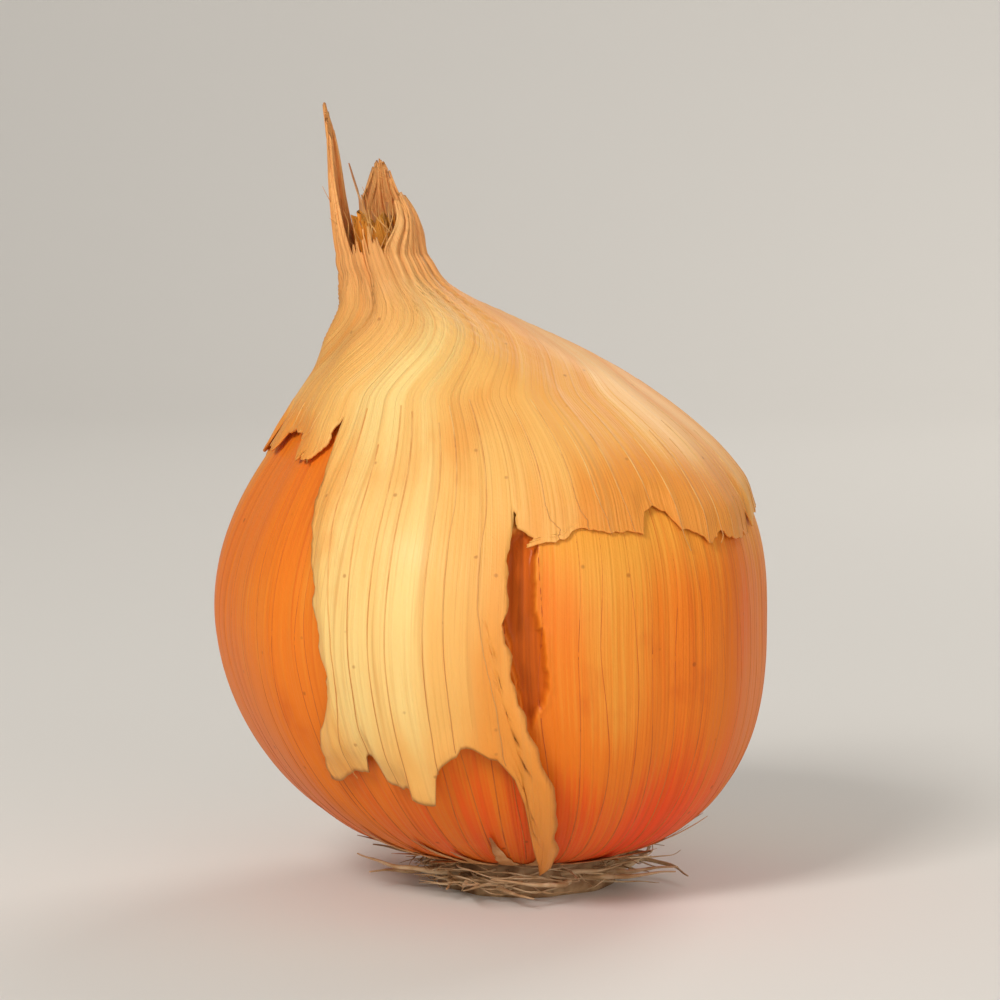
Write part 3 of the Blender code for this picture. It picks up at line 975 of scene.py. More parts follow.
@dataclass
class OuterSkin:
    """The papery outer skin: a sheath round the neck, torn into tongues and frayed into tips."""

    tongues: tuple[Tongue, ...] = (
        Tongue(
            start_turn=-136.0,
            start_height=17.0 * MM,
            end_height=4.9 * MM,
            narrowing=2.0,
            curl_first=0.10 * MM,
            curl_last=0.40 * MM,
            tears=((0.775, 0.16, 2.0 * MM), (0.98, 0.062, -2.9 * MM), (0.31, 0.045, 0.8 * MM)),
            last_sway=9.5,
            first_bow=7.0,
        ),
        Tongue(
            start_turn=-86.0,
            start_height=14.2 * MM,
            end_height=13.2 * MM,
            narrowing=3.0,
            curl_first=0.0 * MM,
            curl_last=0.06 * MM,
            tears=((0.33, 0.05, 1.0 * MM), (0.72, 0.03, 1.2 * MM)),
            tip=(-26.0, 25.0 * MM, 1.5 * MM, 0.50 * MM),
            pressed=1.0,
        ),
        Tongue(
            start_turn=12.0,
            start_height=17.0 * MM,
            end_height=4.2 * MM,
            narrowing=17.0,
            curl_first=0.25 * MM,
            curl_last=0.3 * MM,
            tears=((0.3, 0.035, 2.2 * MM), (0.62, 0.05, 1.2 * MM), (0.85, 0.04, 1.8 * MM)),
            tip=(68.0, 26.2 * MM, 1.3 * MM, 0.50 * MM),
        ),
        Tongue(
            start_turn=128.0,
            start_height=17.8 * MM,
            end_height=15.6 * MM,
            narrowing=5.0,
            curl_first=0.1 * MM,
            curl_last=0.04 * MM,
            tears=((0.22, 0.07, 0.9 * MM), (0.58, 0.03, 1.3 * MM), (0.8, 0.10, 0.7 * MM)),
            tip=(178.0, 28.2 * MM, 0.9 * MM, 0.24 * MM),
            pressed=0.9,
        ),
    )
    split_width: float = 0.38 * MM
    closed_width: float = 0.02 * MM
    ragged_turn: float = math.radians(1.6)
    ragged_end: float = 0.7 * MM
    fine_end: float = 0.22 * MM
    sheath_top: float = 22.6 * MM
    thickness: float = 0.07 * MM
    lowest_lift: float = 0.26 * MM
    body_lift: float = 0.40 * MM
    bulge: float = 0.26 * MM
    bulge_rise: float = 3.0 * MM
    neck_lift: float = 0.72 * MM
    neck_fillet: float = 0.2 * MM
    fillet_height: float = 21.4 * MM
    fillet_reach: float = 0.9 * MM
    torn_rim: float = 0.20 * MM
    torn_tip_rim: float = 0.08
    bow_rises: tuple[float, float] = (5.5 * MM, 8.5 * MM)
    bow_ends: tuple[float, float] = (10.0 * MM, 15.0 * MM)
    edge_jags: float = math.radians(1.1)
    curled_side: float = 1.1 * MM
    curled_end: float = 1.2 * MM
    pleated_heights: tuple[float, float] = (14.5 * MM, 18.5 * MM)
    shoulder_pleats: float = 0.22
    body_ridges: float = 0.020 * MM
    body_dimples: float = 0.08 * MM
    broad_pleats: float = 0.13 * MM
    fine_pleats: float = 0.06 * MM
    tip_creases: float = 0.10 * MM
    tip_curl: float = 0.20 * MM
    tip_sway: float = 0.30
    tip_clearance: float = 0.3 * MM
    middle_tone: float = 0.66
    blotch_tone: float = 0.22
    # The pale straw band in front is the long tongue's own colour; its quick fall-off on its right side is
    # painted shade
    pale_front: float = 0.52
    pale_side_and_shade: tuple[float, float] = (-115.0, 23.0)
    amber_end: float = 0.20
    amber_below: tuple[float, float] = (4.5 * MM, 8.0 * MM)
    amber_and_shade_patches: tuple[Patch, ...] = (
        Patch(0.55, -50.0, 34.0, 14.2 * MM, 17.0 * MM),
        Patch(0.70, 180.0, 42.0, 15.6 * MM, 18.0 * MM),
        # Painted shade: the long tongue's right side, beside the crack, darkened to amber
        Patch(0.22, -90.0, 7.0, 13.0 * MM, 15.0 * MM),
    )
    degrees_per_column: float = 1.0
    tip_rows: int = 24
    sheath_rows: int = 34
    tongue_rows: int = 62
    fibre_lift: float = 0.04 * MM
    fibre_spacing: int = 6
    fibre_margin: int = 7
    frayed_share: float = 0.3
    seed: int = 9

    def following(self, number: int) -> Tongue:
        """The next tongue anticlockwise."""
        return self.tongues[(number + 1) % len(self.tongues)]

    def columns(self, number: int) -> np.ndarray:
        """Shares across a tongue at which its columns of points lie."""
        width = (self.following(number).start_turn - self.tongues[number].start_turn) % 360.0
        return np.linspace(0.0, 1.0, round(width / self.degrees_per_column) + 1)

    def turns(
        self, number: int, share: np.ndarray, radius: np.ndarray, opened: np.ndarray | float = 1.0
    ) -> np.ndarray:
        """Turns about the axis of points of the skin, beside splits of an even width.

        Args:
            number: The tongue's number.
            share: Places across it.
            radius: Radii of the skin there.
            opened: How far the splits are open, from 0 to 1.

        Returns:
            The turns, in radians.
        """
        first = self.tongues[number].start_turn
        width = math.radians((self.following(number).start_turn - first) % 360.0)
        margin = (self.closed_width + self.split_width * opened) / 2.0 / radius
        return math.radians(first) + margin + (width - 2.0 * margin) * share

    def split_height(self, number: int, share: np.ndarray) -> np.ndarray:
        """Heights at which the closed sheath ends, between the starts of two splits."""
        low, high = self.tongues[number].start_height, self.following(number).start_height
        return low + (high - low) * share

    def ragged(self, turns: np.ndarray, seed: float) -> np.ndarray:
        """The broad uneven wave of a torn edge, between -1 and 1."""
        wander = 0.8 * line_noise(turns * 4.0, 3.1 * seed) + 0.4 * line_noise(turns * 11.0, 5.3 * seed)
        return 0.5 * np.sin(5.0 * turns + seed) + wander

    def crumple(self, turns: np.ndarray, heights: np.ndarray) -> np.ndarray:
        """How far the papery skin's own ridges, creases and pleats raise it."""
        grain = GROWTH.grain(turns, heights)
        in_neck = GROWTH.in_neck(heights)
        on_shoulder = eased(*self.pleated_heights, heights)
        pleated = self.shoulder_pleats * on_shoulder + (1.0 - self.shoulder_pleats) * in_neck
        body = self.body_ridges * ridges(grain, 11.0, 0.5, 21.0)
        body = body + self.body_dimples * fibres(grain, 3.2, 1.3, 4.0)
        pleats = self.broad_pleats * ridges(grain, 4.3, 0.5, 31.0)
        pleats = pleats + self.fine_pleats * ridges(grain, 9.5, 0.8, 35.0)
        return body * (1.0 - 0.6 * in_neck) + pleats * pleated

    def end_heights(self, number: int, share: np.ndarray) -> np.ndarray:
        """Heights where a tongue's torn end lies."""
        tongue = self.tongues[number]
        turns = self.turns(number, share, np.full_like(share, SIDE.body_radius))
        ends = tongue.end_height + self.ragged_end * self.ragged(turns, number)
        jags = line_noise(turns * 15.0, number * 3.0) + 0.7 * line_noise(turns * 37.0, number * 5.0)
        ends = ends + self.fine_end * jags
        for middle, half, depth in tongue.tears:
            ends = ends + depth * np.maximum(0.0, 1.0 - np.abs(share - middle) / half) ** 0.45
        return ends

    def tongue_grid(self, number: int, share: np.ndarray) -> tuple[np.ndarray, ...]:
        """The points of one tongue.

        Args:
            number: The tongue's number.
            share: Places of its columns across it, from 0 to 1.

        Returns:
            Turns, radii, heights and closeness to a torn edge, by row and column.
        """
        tongue = self.tongues[number]
        ends = self.end_heights(number, share)
        fall, share = np.meshgrid(np.linspace(0.0, 1.0, self.tongue_rows + 1), share, indexing="ij")
        across = 2.0 * share - 1.0
        start = self.split_height(number, share)
        height = start + (ends - start) * fall
        to_side = (1.0 - np.abs(across)) * 0.5 * SIDE.body_radius
        to_end = (1.0 - fall) * (start - ends)
        opened = eased(0.0, 0.2, fall)
        near_side = (1.0 - eased(0.0, self.curled_side, to_side)) * opened
        near_end = (1.0 - eased(0.0, self.curled_end, to_end)) * eased(0.0, 0.7, fall)
        inside = (1.0 - near_side) * (1.0 - near_end)
        turns = self.turns(number, share, SIDE.body_radius)
        flutter = 0.6 + 0.8 * fibres(grain_at(turns * 2.0, height), 2.6, 2.6, number + 0.5)
        curl = np.where(across < 0.0, tongue.curl_first, tongue.curl_last) * flutter
        bulge = self.bulge * inside * eased(0.0, self.bulge_rise, start - height)
        lift = self.body_lift + bulge + curl * np.maximum(near_side, near_end)
        lift = lift - tongue.pressed * (self.body_lift - self.lowest_lift) * eased(0.0, 0.8, fall)
        lift = lift + self.crumple(turns, height) * (0.35 + 0.65 * inside)
        radius, height = SIDE.lifted(height, np.maximum(lift, self.lowest_lift))
        fray = self.ragged_turn * fall * np.abs(across) ** 3 * self.ragged(2.0 * fall + share, number)
        side_line = to_end / MM + 20.0 * np.sign(across) + 50.0 * number
        jag = line_noise(side_line * 1.1, 3.0) + 0.6 * line_noise(side_line * 3.1, 5.0)
        fray = fray + self.edge_jags * jag * np.abs(across) ** 8 * opened
        fray = fray + math.radians(tongue.last_sway) * np.maximum(0.0, across) ** 3 * eased(0.3, 0.85, fall)
        halfway = eased(*self.bow_rises, height) * (1.0 - eased(*self.bow_ends, height))
        fray = fray + math.radians(tongue.first_bow) * np.maximum(0.0, -across) ** 2 * halfway
        turns = self.turns(number, share, radius, eased(0.0, 1.5 * MM, start - height))
        turns = turns - across * math.radians(tongue.narrowing) * fall + fray
        edge = np.clip(1.0 - np.minimum(to_side, to_end) / self.torn_rim, 0.0, 1.0) * opened
        return turns, radius, height, edge * (1.0 - 0.5 * tongue.pressed)

    def sheath_grid(self, number: int, share: np.ndarray) -> tuple[np.ndarray, ...]:
        """The points of the closed sheath above one tongue, as tongue_grid gives them."""
        fall, share = np.meshgrid(np.arange(self.sheath_rows) / self.sheath_rows, share, indexing="ij")
        height = self.sheath_top + (self.split_height(number, share) - self.sheath_top) * fall
        if not self.tongues[number].tip:
            torn = 0.3 + 1.0 * line_noise(share * 9.0, 2.0) + 0.6 * line_noise(share * 23.0, 4.0)
            height = height + torn * MM * (4.0 * share * (1.0 - share)) ** 0.2 * (1.0 - fall) ** 3
        in_neck = GROWTH.in_neck(height)
        lift = self.body_lift + (self.neck_lift - self.body_lift) * in_neck
        from_fillet = (height - self.fillet_height) / self.fillet_reach
        lift = lift + self.neck_fillet * np.exp(-(from_fillet**2))
        rough_turns = self.turns(number, share, SIDE.lifted(height, lift)[0], 0.0)
        lift = np.maximum(lift + self.crumple(rough_turns, height), self.lowest_lift)
        radius, height = SIDE.lifted(height, lift)
        return self.turns(number, share, radius, 0.0), radius, height, np.zeros_like(share)

    def tip_grid(self, number: int, share: np.ndarray) -> tuple[np.ndarray, ...]:
        """The points of the dry tip above one tongue, as tongue_grid gives them."""
        turn_end, tip_height, spread, half_width = self.tongues[number].tip
        foot_turn, foot_radius, foot_height, _ = (part[0] for part in self.sheath_grid(number, share))
        rise, share = np.meshgrid(np.arange(self.tip_rows, 0, -1) / self.tip_rows, share, indexing="ij")
        across = 2.0 * share - 1.0
        radius = foot_radius + (spread - foot_radius) * rise**1.4
        end_turn = math.radians(turn_end) + across * half_width / np.maximum(radius, 0.5 * MM)
        jag = line_noise(share * 9.0 + number, 9.0) + 0.6 * line_noise(share * 24.0 + number, 2.0)
        drop = 1.0 - 0.14 * np.abs(across) ** 1.5 - 0.22 * np.abs(jag)
        height = foot_height + (tip_height - foot_height) * rise * drop
        grain = GROWTH.grain(foot_turn, height)
        crease = self.tip_creases * ridges(grain, 4.3, 0.5, 31.0) * (1.0 - 0.5 * rise)
        curl = self.tip_curl * np.sin(3.0 * rise + number) * rise
        sway = self.tip_sway * np.sin(2.4 * rise + number) * rise**2
        turns = foot_turn + (end_turn - foot_turn) * rise**1.4 + sway
        edge = np.clip(1.0 - (1.0 - rise) / self.torn_tip_rim, 0.0, 1.0) * 0.8
        return turns, np.maximum(radius + curl + crease * rise, self.tip_clearance), height, edge

    def grid(self, number: int) -> tuple[np.ndarray, ...]:
        """The points of one tongue with the sheath and the tip above it, from the top down."""
        share = self.columns(number)
        parts = [self.sheath_grid(number, share), self.tongue_grid(number, share)]
        if self.tongues[number].tip:
            parts.insert(0, self.tip_grid(number, share))
        return tuple(np.concatenate(part) for part in zip(*parts))

    def tone(self, turns: np.ndarray, heights: np.ndarray) -> np.ndarray:
        """How golden the skin is: 0 is pale straw and 1 amber."""
        on_body = GROWTH.twisted(turns, heights)
        # Paler in front is the skin's own colour; the narrow fall-off on the band's right is painted shade
        front = facing(on_body, *self.pale_side_and_shade)
        end = self.amber_end * (1.0 - eased(*self.amber_below, heights)) * (0.5 + 0.5 * front)
        patches = sum(patch.at(on_body, heights) for patch in self.amber_and_shade_patches)
        blotches = fibres(grain_at(on_body, heights), 2.0, 1.3, 27.0)
        return self.middle_tone - self.pale_front * front + end + patches + self.blotch_tone * blotches

    def build(self, finish: Finish) -> bpy.types.Object:
        """Builds the piece as one sheet and thickens it.

        Args:
            finish: Its finish.

        Returns:
            The piece.
        """
        points, grains, tones, edges, lines = [], [], [], [], []
        for number in range(len(self.tongues)):
            turns, radii, heights, edge = (part.T for part in self.grid(number))
            count = len(points) + np.arange(turns.size).reshape(turns.shape)
            points += GROWTH.place(turns, radii, heights).reshape(-1, 3).tolist()
            grains.append(GROWTH.grain(turns, heights).reshape(-1, 3))
            tones.append(self.tone(turns, heights).ravel())
            edges.append(edge.ravel())
            lines += [(number, column) for column in count.tolist()]
        mesh = bpy.data.meshes.new("papery_skin")
        mesh.from_pydata(points, [], self.faces(lines))
        for name, values in ((GRAIN, grains), (TONE, tones), (EDGE, edges)):
            add_attribute(mesh, name, np.concatenate(values))
        piece = mesh_object("papery_skin", mesh, finish.material)
        wall = piece.modifiers.new("Thickness", "SOLIDIFY")
        wall.thickness = self.thickness
        wall.offset = 0.0
        return piece

    def faces(self, lines: list[tuple[int, list[int]]]) -> list[tuple[int, int, int, int]]:
        """The sheet's faces: the sheath closes across the splits, and nothing else does.

        Args:
            lines: For each column, its tongue's number and its points from the top down.

        Returns:
            The faces, by the numbers of their points.
        """
        faces = []
        for (number, points), (other, others) in zip(lines, lines[1:] + lines[:1]):
            rows = min(len(points), len(others))
            here, beyond = points[-rows:], others[-rows:]
            sheath = range(rows - 1 - self.sheath_rows - self.tongue_rows, rows - 1 - self.tongue_rows)
            for row in range(rows - 1):
                if other == number or row in sheath:
                    faces.append((here[row], here[row + 1], beyond[row + 1], beyond[row]))
        return faces

    def fibre_lines(self) -> list[list[Vector]]:
        """The middle lines of the raised fibres, from the shoulder down.

        Some of them fray out past the torn ends.
        """
        chance = random.Random(self.seed)
        lines = []
        for number in range(len(self.tongues)):
            turns, radii, heights, _ = self.grid(number)
            last = turns.shape[1] - self.fibre_margin
            for column in range(self.fibre_margin, last, self.fibre_spacing):
                chosen = min(column + chance.randrange(3), last)
                below = heights[:, chosen] < chance.uniform(16.5, 18.3) * MM
                along = (slice(int(np.argmax(below)), None, 2), chosen)
                line = GROWTH.line(turns[along], radii[along] + self.fibre_lift, heights[along])
                if chance.random() < self.frayed_share:
                    run = (line[-1] - line[-2]).normalized() * chance.uniform(0.15, 0.8) * MM
                    sway = Vector([chance.uniform(-0.15, 0.15) * MM for _ in range(3)])
                    line += [line[-1] + 0.5 * run, line[-1] + run + sway]
                lines.append(line)
        return lines


@dataclass(frozen=True)
class StrandSizes:
    """Sizes of a piece that is made of strands. Each is an input of the strands' node tree."""

    points: int
    radius: float
    end_share: float
    flatness: float
    sides: int
    wave: float
    wave_scale: float
    knots: float


class Strands:
    """A tree of geometry nodes that turns lines of points into tapered, wavy strands."""

    def __init__(self) -> None:
        """Builds the tree, with named inputs for its sizes."""
        self.tree = bpy.data.node_groups.new("strands", "GeometryNodeTree")
        self.nodes = Sockets(self.tree)
        kinds = {"lines": "NodeSocketGeometry", "finish": "NodeSocketMaterial"}
        kinds |= {name: "NodeSocketFloat" for name in StrandSizes.__dataclass_fields__}
        kinds |= {"points": "NodeSocketInt", "sides": "NodeSocketInt"}
        self.identifiers = {
            name: self.tree.interface.new_socket(name, in_out="INPUT", socket_type=kind).identifier
            for name, kind in kinds.items()
        }
        self.tree.interface.new_socket("strands", in_out="OUTPUT", socket_type="NodeSocketGeometry")
        given = self.nodes.add("NodeGroupInput").outputs
        along = self.nodes.add("GeometryNodeSplineParameter").outputs["Factor"]
        curves = self.waved(given, along)
        self.nodes.add("NodeGroupOutput", {0: self.solid(given, curves, along)})

    def waved(self, given: bpy.types.NodeOutputs, along: bpy.types.NodeSocket) -> bpy.types.NodeSocket:
        """Smooth curves through the lines, which wander more towards their ends."""
        nodes = self.nodes
        curves = nodes.add("GeometryNodeMeshToCurve", {"Mesh": given["lines"]}).outputs["Curve"]
        smooth = nodes.add("GeometryNodeCurveSplineType", {"Curve": curves}, spline_type="CATMULL_ROM")
        even = nodes.add("GeometryNodeResampleCurve", {"Curve": smooth.outputs[0], "Count": given["points"]})
        place = nodes.add("GeometryNodeInputPosition").outputs["Position"]
        wave = nodes.add("ShaderNodeTexNoise", {"Vector": place, "Scale": given["wave_scale"], "Detail": 1.0})
        centred = nodes.vector("SUBTRACT", wave.outputs["Color"], (0.5, 0.5, 0.5))
        reach = nodes.calc("MULTIPLY", given["wave"], nodes.calc("SQRT", along))
        offset = nodes.add("ShaderNodeVectorMath", {0: centred, "Scale": reach}, operation="SCALE")
        moved = {"Geometry": even.outputs["Curve"], "Offset": offset.outputs[0]}
        bent = nodes.add("GeometryNodeSetPosition", moved).outputs["Geometry"]
        return nodes.add("GeometryNodeSetCurveNormal", {"Curve": bent}, mode="Z_UP").outputs["Curve"]

    def solid(
        self, given: bpy.types.NodeOutputs, curves: bpy.types.NodeSocket, along: bpy.types.NodeSocket
    ) -> bpy.types.NodeSocket:
        """Flattened, knotty tubes along the curves, which carry how far along them each point is."""
        nodes = self.nodes
        place = nodes.add("GeometryNodeInputPosition").outputs["Position"]
        fall = nodes.calc("MULTIPLY", along, nodes.calc("SUBTRACT", 1.0, given["end_share"]))
        taper = nodes.calc("MULTIPLY", given["radius"], nodes.calc("SUBTRACT", 1.0, fall))
        uneven = nodes.calc("SUBTRACT", nodes.noise(place, 2600.0, 1.0), 0.5)
        width = nodes.calc("MULTIPLY", taper, nodes.calc("MULTIPLY_ADD", uneven, given["knots"], 1.0))
        stored = {"Geometry": curves, "Name": ALONG, "Value": along}
        named = nodes.add("GeometryNodeStoreNamedAttribute", stored, data_type="FLOAT", domain="POINT")
        ring = nodes.add("GeometryNodeCurvePrimitiveCircle", {"Resolution": given["sides"], "Radius": 1.0})
        squash = nodes.add("ShaderNodeCombineXYZ", {0: 1.0, 1: given["flatness"], 2: 1.0}).outputs[0]
        section = nodes.add("GeometryNodeTransform", {"Geometry": ring.outputs["Curve"], "Scale": squash})
        tube = {"Curve": named.outputs["Geometry"], "Profile Curve": section.outputs["Geometry"]}
        tube |= {"Scale": width, "Fill Caps": True}
        solid = nodes.add("GeometryNodeCurveToMesh", tube).outputs["Mesh"]
        real = nodes.add("GeometryNodeRealizeInstances", {"Geometry": solid}).outputs["Geometry"]
        dressed = {"Geometry": real, "Material": given["finish"]}
        return nodes.add("GeometryNodeSetMaterial", dressed).outputs["Geometry"]

    def build(
        self, name: str, lines: list[list[Vector]], finish: Finish, sizes: StrandSizes
    ) -> bpy.types.Object:
        """Makes one piece of strands.

        Args:
            name: Name of the piece.
            lines: Points of each strand's middle line, from its root to its end.
            finish: Its finish.
            sizes: Its sizes.

        Returns:
            The piece, a plain mesh.
        """
        points, edges = [], []
        for line in lines:
            edges += [(len(points) + step, len(points) + step + 1) for step in range(len(line) - 1)]
            points += [tuple(point) for point in line]
        mesh = bpy.data.meshes.new(name + "_lines")
        mesh.from_pydata(points, edges, [])
        source = mesh_object(name + "_lines", mesh, finish.material)
        grower = source.modifiers.new("Strands", "NODES")
        grower.node_group = self.tree
        for key, value in (asdict(sizes) | {"finish": finish.material}).items():
            grower[self.identifiers[key]] = value
        graph = bpy.context.evaluated_depsgraph_get()
        grown = bpy.data.meshes.new_from_object(source.evaluated_get(graph))
        bpy.data.objects.remove(source, do_unlink=True)
        grown.name = name
        return mesh_object(name, grown, finish.material)


@dataclass
class Roots:
    """The corky root plate with its dried rootlets, and the finest roots among them."""

    plate_radius: float = 3.15 * MM
    plate_top: float = 1.6 * MM
    plate_columns: int = 132
    plate_rings: int = 22
    wall_rings: int = 12
    inner_share: float = 0.08
    wall_bulge: float = 0.05
    wall_taper: float = 0.10
    pits_per_mm: float = 2.6
    pit_depth: float = 0.05 * MM
    wall_pits: float = 0.05
    rootlets: int = 30
    rootlet_start: float = 2.0 * MM
    rootlet_points: int = 7
    seed: int = 11
    fine_roots: int = 150

    def rim(self, turns: np.ndarray) -> np.ndarray:
        """The plate's uneven radius."""
        return self.plate_radius * (1.0 + 0.03 * np.cos(4.0 * turns + 0.7) + 0.02 * np.cos(9.0 * turns))

    def plate(self, finish: Finish) -> bpy.types.Object:
        """The root plate: a low uneven disc of pitted cork, flat underneath.

        Args:
            finish: Its finish.

        Returns:
            The piece, a closed mesh.
        """
        around = np.arange(self.plate_columns) * FULL_TURN / self.plate_columns
        flat = np.linspace(self.inner_share, 1.0, self.plate_rings)
        wall = np.linspace(0.0, 1.0, self.wall_rings)[1:]
        walls = 1.0 + self.wall_bulge * np.sin(wall * math.pi) - self.wall_taper * wall
        shares = np.concatenate([flat, walls])
        levels = np.concatenate([np.zeros_like(flat), wall * self.plate_top])
        turns, share = np.meshgrid(around, shares)
        height = np.repeat(levels[:, None], self.plate_columns, axis=1)
        radius = self.rim(turns) * share
        places = np.stack([radius * np.cos(turns), radius * np.sin(turns), height], axis=-1)
        pits = noise_at(places / MM * self.pits_per_mm, 1.0)
        on_wall = eased(0.0, 0.3 * MM, height)
        radius = radius * (1.0 + self.wall_pits * pits * on_wall)
        hollow = self.pit_depth * (1.0 + pits) * (1.0 - eased(0.75, 0.95, share))
        height = np.maximum(height, hollow)
        places = np.stack([radius * np.cos(turns), radius * np.sin(turns), height], axis=-1)
        return mesh_object("root_plate", closed_mesh("root_plate", places, {}), finish.material)

    def wandering(
        self, turn: float, start: tuple[float, float], end: tuple[float, float], curl: float, power: float
    ) -> list[Vector]:
        """The middle line of a root that runs outwards and curls to one side.

        Args:
            turn: Where it starts, in radians.
            start: Radius and height of its start.
            end: Radius and height of its end.
            curl: How far it curls, in radians.
            power: Above 1, it rises or falls mostly near its end.

        Returns:
            Its points.
        """
        line = []
        for step in range(self.rootlet_points):
            share = step / (self.rootlet_points - 1)
            radius = start[0] + (end[0] - start[0]) * share
            bent = turn + curl * share**2
            height = start[1] + (end[1] - start[1]) * share**power
            line.append(Vector((radius * math.cos(bent), radius * math.sin(bent), height)))
        return line

    def rootlet_lines(self) -> list[list[Vector]]:
        """The middle lines of the rootlets, which start inside the plate."""
        chance = random.Random(self.seed)
        lines = []
        for number in range(self.rootlets):
            turn = FULL_TURN * (number + chance.uniform(-0.3, 0.3)) / self.rootlets
            reach = chance.uniform(1.9, 3.0) * MM + (chance.random() < 0.25) * 1.4 * MM
            curl = chance.uniform(-0.8, 0.8)
            start = (self.rootlet_start, chance.uniform(0.4, 0.72) * MM)
            end = (self.rootlet_start + reach, chance.uniform(0.32, 1.38) * MM)
            lines.append(self.wandering(turn, start, end, curl, 2.0))
        return lines

    def fine_lines(self) -> list[list[Vector]]:
        """The middle lines of the finest roots, matted round the plate's rim."""
        chance = random.Random(self.seed + 1)
        lines = []
        for _ in range(self.fine_roots):
            turn = chance.uniform(0.0, FULL_TURN)
            start = (2.8 * MM, chance.uniform(0.25, 1.25) * MM)
            end = (start[0] + chance.triangular(0.5, 3.0, 1.2) * MM, chance.uniform(0.2, 1.4) * MM)
            lines.append(self.wandering(turn, start, end, chance.uniform(-0.9, 0.9), 1.0))
        return lines


@dataclass
class Wisps:
    """What is withered: leaves and fibres in the neck, and shreds of old scales round the foot.

    Each leaf is (turn in degrees, rise, radius of its foot, lean), with its lengths in mm.
    """

    leaves: tuple[tuple[float, float, float, float], ...] = (
        (172.0, 4.6, 0.35, 0.1),
        (205.0, 2.6, 0.5, 0.3),
        (-70.0, 1.9, 0.3, 0.5),
        (-40.0, 3.2, 0.45, 0.2),
        (20.0, 2.4, 0.5, 0.3),
        (95.0, 3.4, 0.5, 0.3),
        (250.0, 2.9, 0.3, 0.2),
    )
    leaf_base: float = 21.4 * MM
    leaf_points: int = 8
    fibres: int = 42
    shreds: int = 34
    seed: int = 5

    def rising(
        self, turn: float, foot: tuple[float, float], rise: float, lean: float, curl: float
    ) -> list[Vector]:
        """The middle line of something that stands up in the neck.

        Args:
            turn: Where it stands, in radians.
            foot: Radius and height of its foot.
            rise: How far it rises.
            lean: How far it leans out.
            curl: How far it curls round the neck, in radians.

        Returns:
            Its points.
        """
        share = np.linspace(0.0, 1.0, self.leaf_points)
        turns = turn + curl * np.sin(2.2 * share)
        return GROWTH.line(turns, foot[0] + lean * share**1.6, foot[1] + rise * share)

    def leaf_lines(self) -> list[list[Vector]]:
        """The middle lines of the withered leaves."""
        lines = []
        for turn, rise, foot, lean in self.leaves:
            foot_place = (foot * MM, self.leaf_base)
            lines.append(self.rising(math.radians(turn), foot_place, rise * MM, lean * MM, 0.5))
        return lines

    def fibre_lines(self) -> list[list[Vector]]:
        """The middle lines of the fibres frayed from the top of the sheath."""
        chance = random.Random(self.seed)
        lines = []
        for _ in range(self.fibres):
            foot = (chance.uniform(0.7, 1.1) * MM, chance.uniform(21.9, 23.2) * MM)
            rise, lean = chance.uniform(0.6, 2.4) * MM, chance.uniform(-0.3, 0.6) * MM
            turn, curl = chance.uniform(0.0, FULL_TURN), chance.uniform(-0.8, 0.8)
            lines.append(self.rising(turn, foot, rise, lean, curl))
        return lines

    def shred_lines(self) -> list[list[Vector]]:
        """The middle lines of the shreds that hug the bulb round its root plate."""
        chance = random.Random(self.seed + 1)
        share = np.linspace(0.0, 1.0, self.leaf_points)
        lines = []
        for number in range(self.shreds):
            turn = FULL_TURN * (number + chance.uniform(-0.4, 0.4)) / self.shreds
            top = SIDE.foot_height + chance.triangular(0.2, 2.2, 0.4) * MM
            heights = SIDE.foot_height + 0.01 * MM + (top - SIDE.foot_height) * share**1.5
            lifts = (0.15 + chance.uniform(0.05, 0.30) * share**2) * MM
            turns = turn + chance.uniform(-0.14, 0.14) * share
            lines.append(GROWTH.line(turns, *SIDE.lifted(heights, lifts)))
        return lines


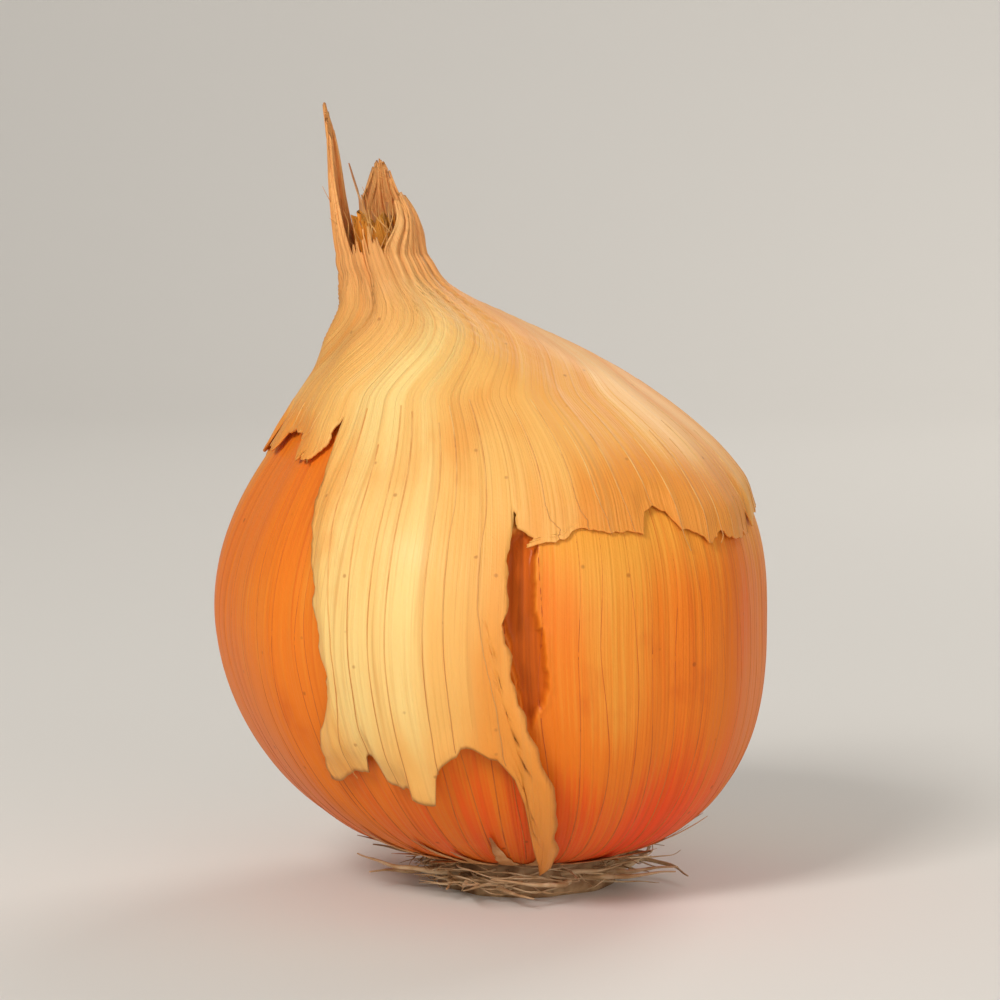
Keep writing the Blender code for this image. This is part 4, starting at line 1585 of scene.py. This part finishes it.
@dataclass
class Studio:
    """The camera, the soft lights and the pale floor."""

    focal: float = 150.0
    distance: float = 0.150
    elevation: float = math.radians(6.0)
    aim: tuple[float, float, float] = (-0.9 * MM, 0.0, 13.9 * MM)
    floor_half: float = 0.45
    wall_distance: float = 0.30
    sweep: float = 0.10
    sweep_steps: int = 12

    def aimed(self, name: str, data: bpy.types.ID, place: Vector) -> bpy.types.Object:
        """A camera or light that stands at a place and faces the object."""
        made = bpy.data.objects.new(name, data)
        bpy.context.scene.collection.objects.link(made)
        made.location = place
        made.rotation_euler = (Vector(self.aim) - place).to_track_quat("-Z", "Y").to_euler()
        return made

    def camera(self) -> None:
        """The camera, in front of the object and a little above it."""
        data = bpy.data.cameras.new("camera")
        data.lens = self.focal
        data.clip_start = 0.005
        data.clip_end = 5.0
        away = Vector((0.0, -math.cos(self.elevation), math.sin(self.elevation)))
        bpy.context.scene.camera = self.aimed("camera", data, Vector(self.aim) + away * self.distance)

    def light(self, name: str, place: tuple, size: float, power: float, tint: tuple) -> None:
        """A soft square light.

        Args:
            name: Name of the light.
            place: Where it stands.
            size: Length of its side.
            power: Its power in watts.
            tint: Its colour.
        """
        data = bpy.data.lights.new(name, "AREA")
        data.shape = "SQUARE"
        data.size = size
        data.energy = power
        data.color = tint
        self.aimed(name, data, Vector(place))

    def lights(self) -> None:
        """A large key light, a fill, a rim light and a pale surround."""
        self.light("key", (-0.12, -0.19, 0.18), size=0.08, power=0.50, tint=(1.0, 0.97, 0.92))
        self.light("fill", (0.10, -0.24, 0.03), size=0.25, power=0.37, tint=(1.0, 0.96, 0.90))
        self.light("rim", (0.12, 0.20, 0.18), size=0.12, power=0.28, tint=(1.0, 0.97, 0.92))
        world = bpy.data.worlds.new("studio")
        world.use_nodes = True
        background = world.node_tree.nodes["Background"]
        background.inputs["Color"].default_value = (1.0, 0.97, 0.93, 1.0)
        background.inputs["Strength"].default_value = 0.33
        bpy.context.scene.world = world

    def floor(self) -> None:
        """A pale floor that sweeps up into a backdrop."""
        half, foot = self.floor_half, self.wall_distance - self.sweep
        profile = [(-half, 0.0)]
        for step in range(self.sweep_steps + 1):
            turn = math.pi / 2.0 * step / self.sweep_steps
            profile.append((foot + self.sweep * math.sin(turn), self.sweep * (1.0 - math.cos(turn))))
        profile.append((self.wall_distance, half))
        points = [(side, y, z) for y, z in profile for side in (-half, half)]
        faces = [(2 * row, 2 * row + 1, 2 * row + 3, 2 * row + 2) for row in range(len(profile) - 1)]
        mesh = bpy.data.meshes.new("floor")
        mesh.from_pydata(points, [], faces)
        pale = bpy.data.materials.new("pale_floor")
        pale.use_nodes = True
        shader = pale.node_tree.nodes["Principled BSDF"]
        shader.inputs["Base Color"].default_value = (0.70, 0.68, 0.65, 1.0)
        shader.inputs["Roughness"].default_value = 0.85
        mesh_object("floor", mesh, pale)

    def build(self) -> None:
        """Sets up the whole studio."""
        bpy.context.scene.view_settings.view_transform = "Standard"
        self.camera()
        self.lights()
        self.floor()


def main() -> None:
    """Builds every piece of the onion set and its studio."""
    Studio().build()
    effects = Effects()
    dry = {tissue: tissue.finish(effects) for tissue in Dry}
    body, outer, roots, wisps = BulbBody(), OuterSkin(), Roots(), Wisps()
    settle(body.build(TightSkin(effects)), Slot.BULB, "bulb")
    settle(outer.build(PaperySkin(effects)), Slot.OUTER, "outer_skin")
    settle(roots.plate(dry[Dry.CORK]), Slot.ROOTS, "roots")
    strands = Strands()
    # Each piece: its name, lines, tissue, slot and replaced solids, then its sizes in their order
    pieces = (
        ("rootlets", roots.rootlet_lines(), Dry.ROOT, Slot.ROOTS, ("roots",),
         StrandSizes(44, 0.19 * MM, 0.15, 0.85, 10, 0.7 * MM, 420.0, 0.7)),
        ("fine_roots", roots.fine_lines(), Dry.ROOT, Slot.ROOTS, (),
         StrandSizes(18, 0.055 * MM, 0.25, 0.9, 5, 0.7 * MM, 600.0, 0.4)),
        ("base_shreds", wisps.shred_lines(), Dry.LEAF, Slot.OUTER, (),
         StrandSizes(14, 0.42 * MM, 0.12, 0.10, 10, 0.12 * MM, 500.0, 0.8)),
        ("withered_leaves", wisps.leaf_lines(), Dry.LEAF, Slot.OUTER, (),
         StrandSizes(40, 0.46 * MM, 0.10, 0.22, 14, 0.5 * MM, 420.0, 0.6)),
        ("neck_fibres", wisps.fibre_lines(), Dry.FIBRE, Slot.OUTER, (),
         StrandSizes(16, 0.040 * MM, 0.3, 0.7, 5, 0.4 * MM, 700.0, 0.3)),
        ("skin_fibres", outer.fibre_lines(), Dry.FIBRE, Slot.OUTER, (),
         StrandSizes(70, 0.032 * MM, 0.6, 0.8, 5, 0.0, 500.0, 0.4)),
        ("bulb_veins", body.vein_lines(), Dry.VEIN, Slot.BULB, (),
         StrandSizes(70, 0.034 * MM, 0.4, 0.8, 5, 0.0, 500.0, 0.4)),
    )
    for name, lines, tissue, slot, nodes, sizes in pieces:
        settle(strands.build(name, lines, dry[tissue], sizes), slot, *nodes)


if __name__ == "__main__":
    main()
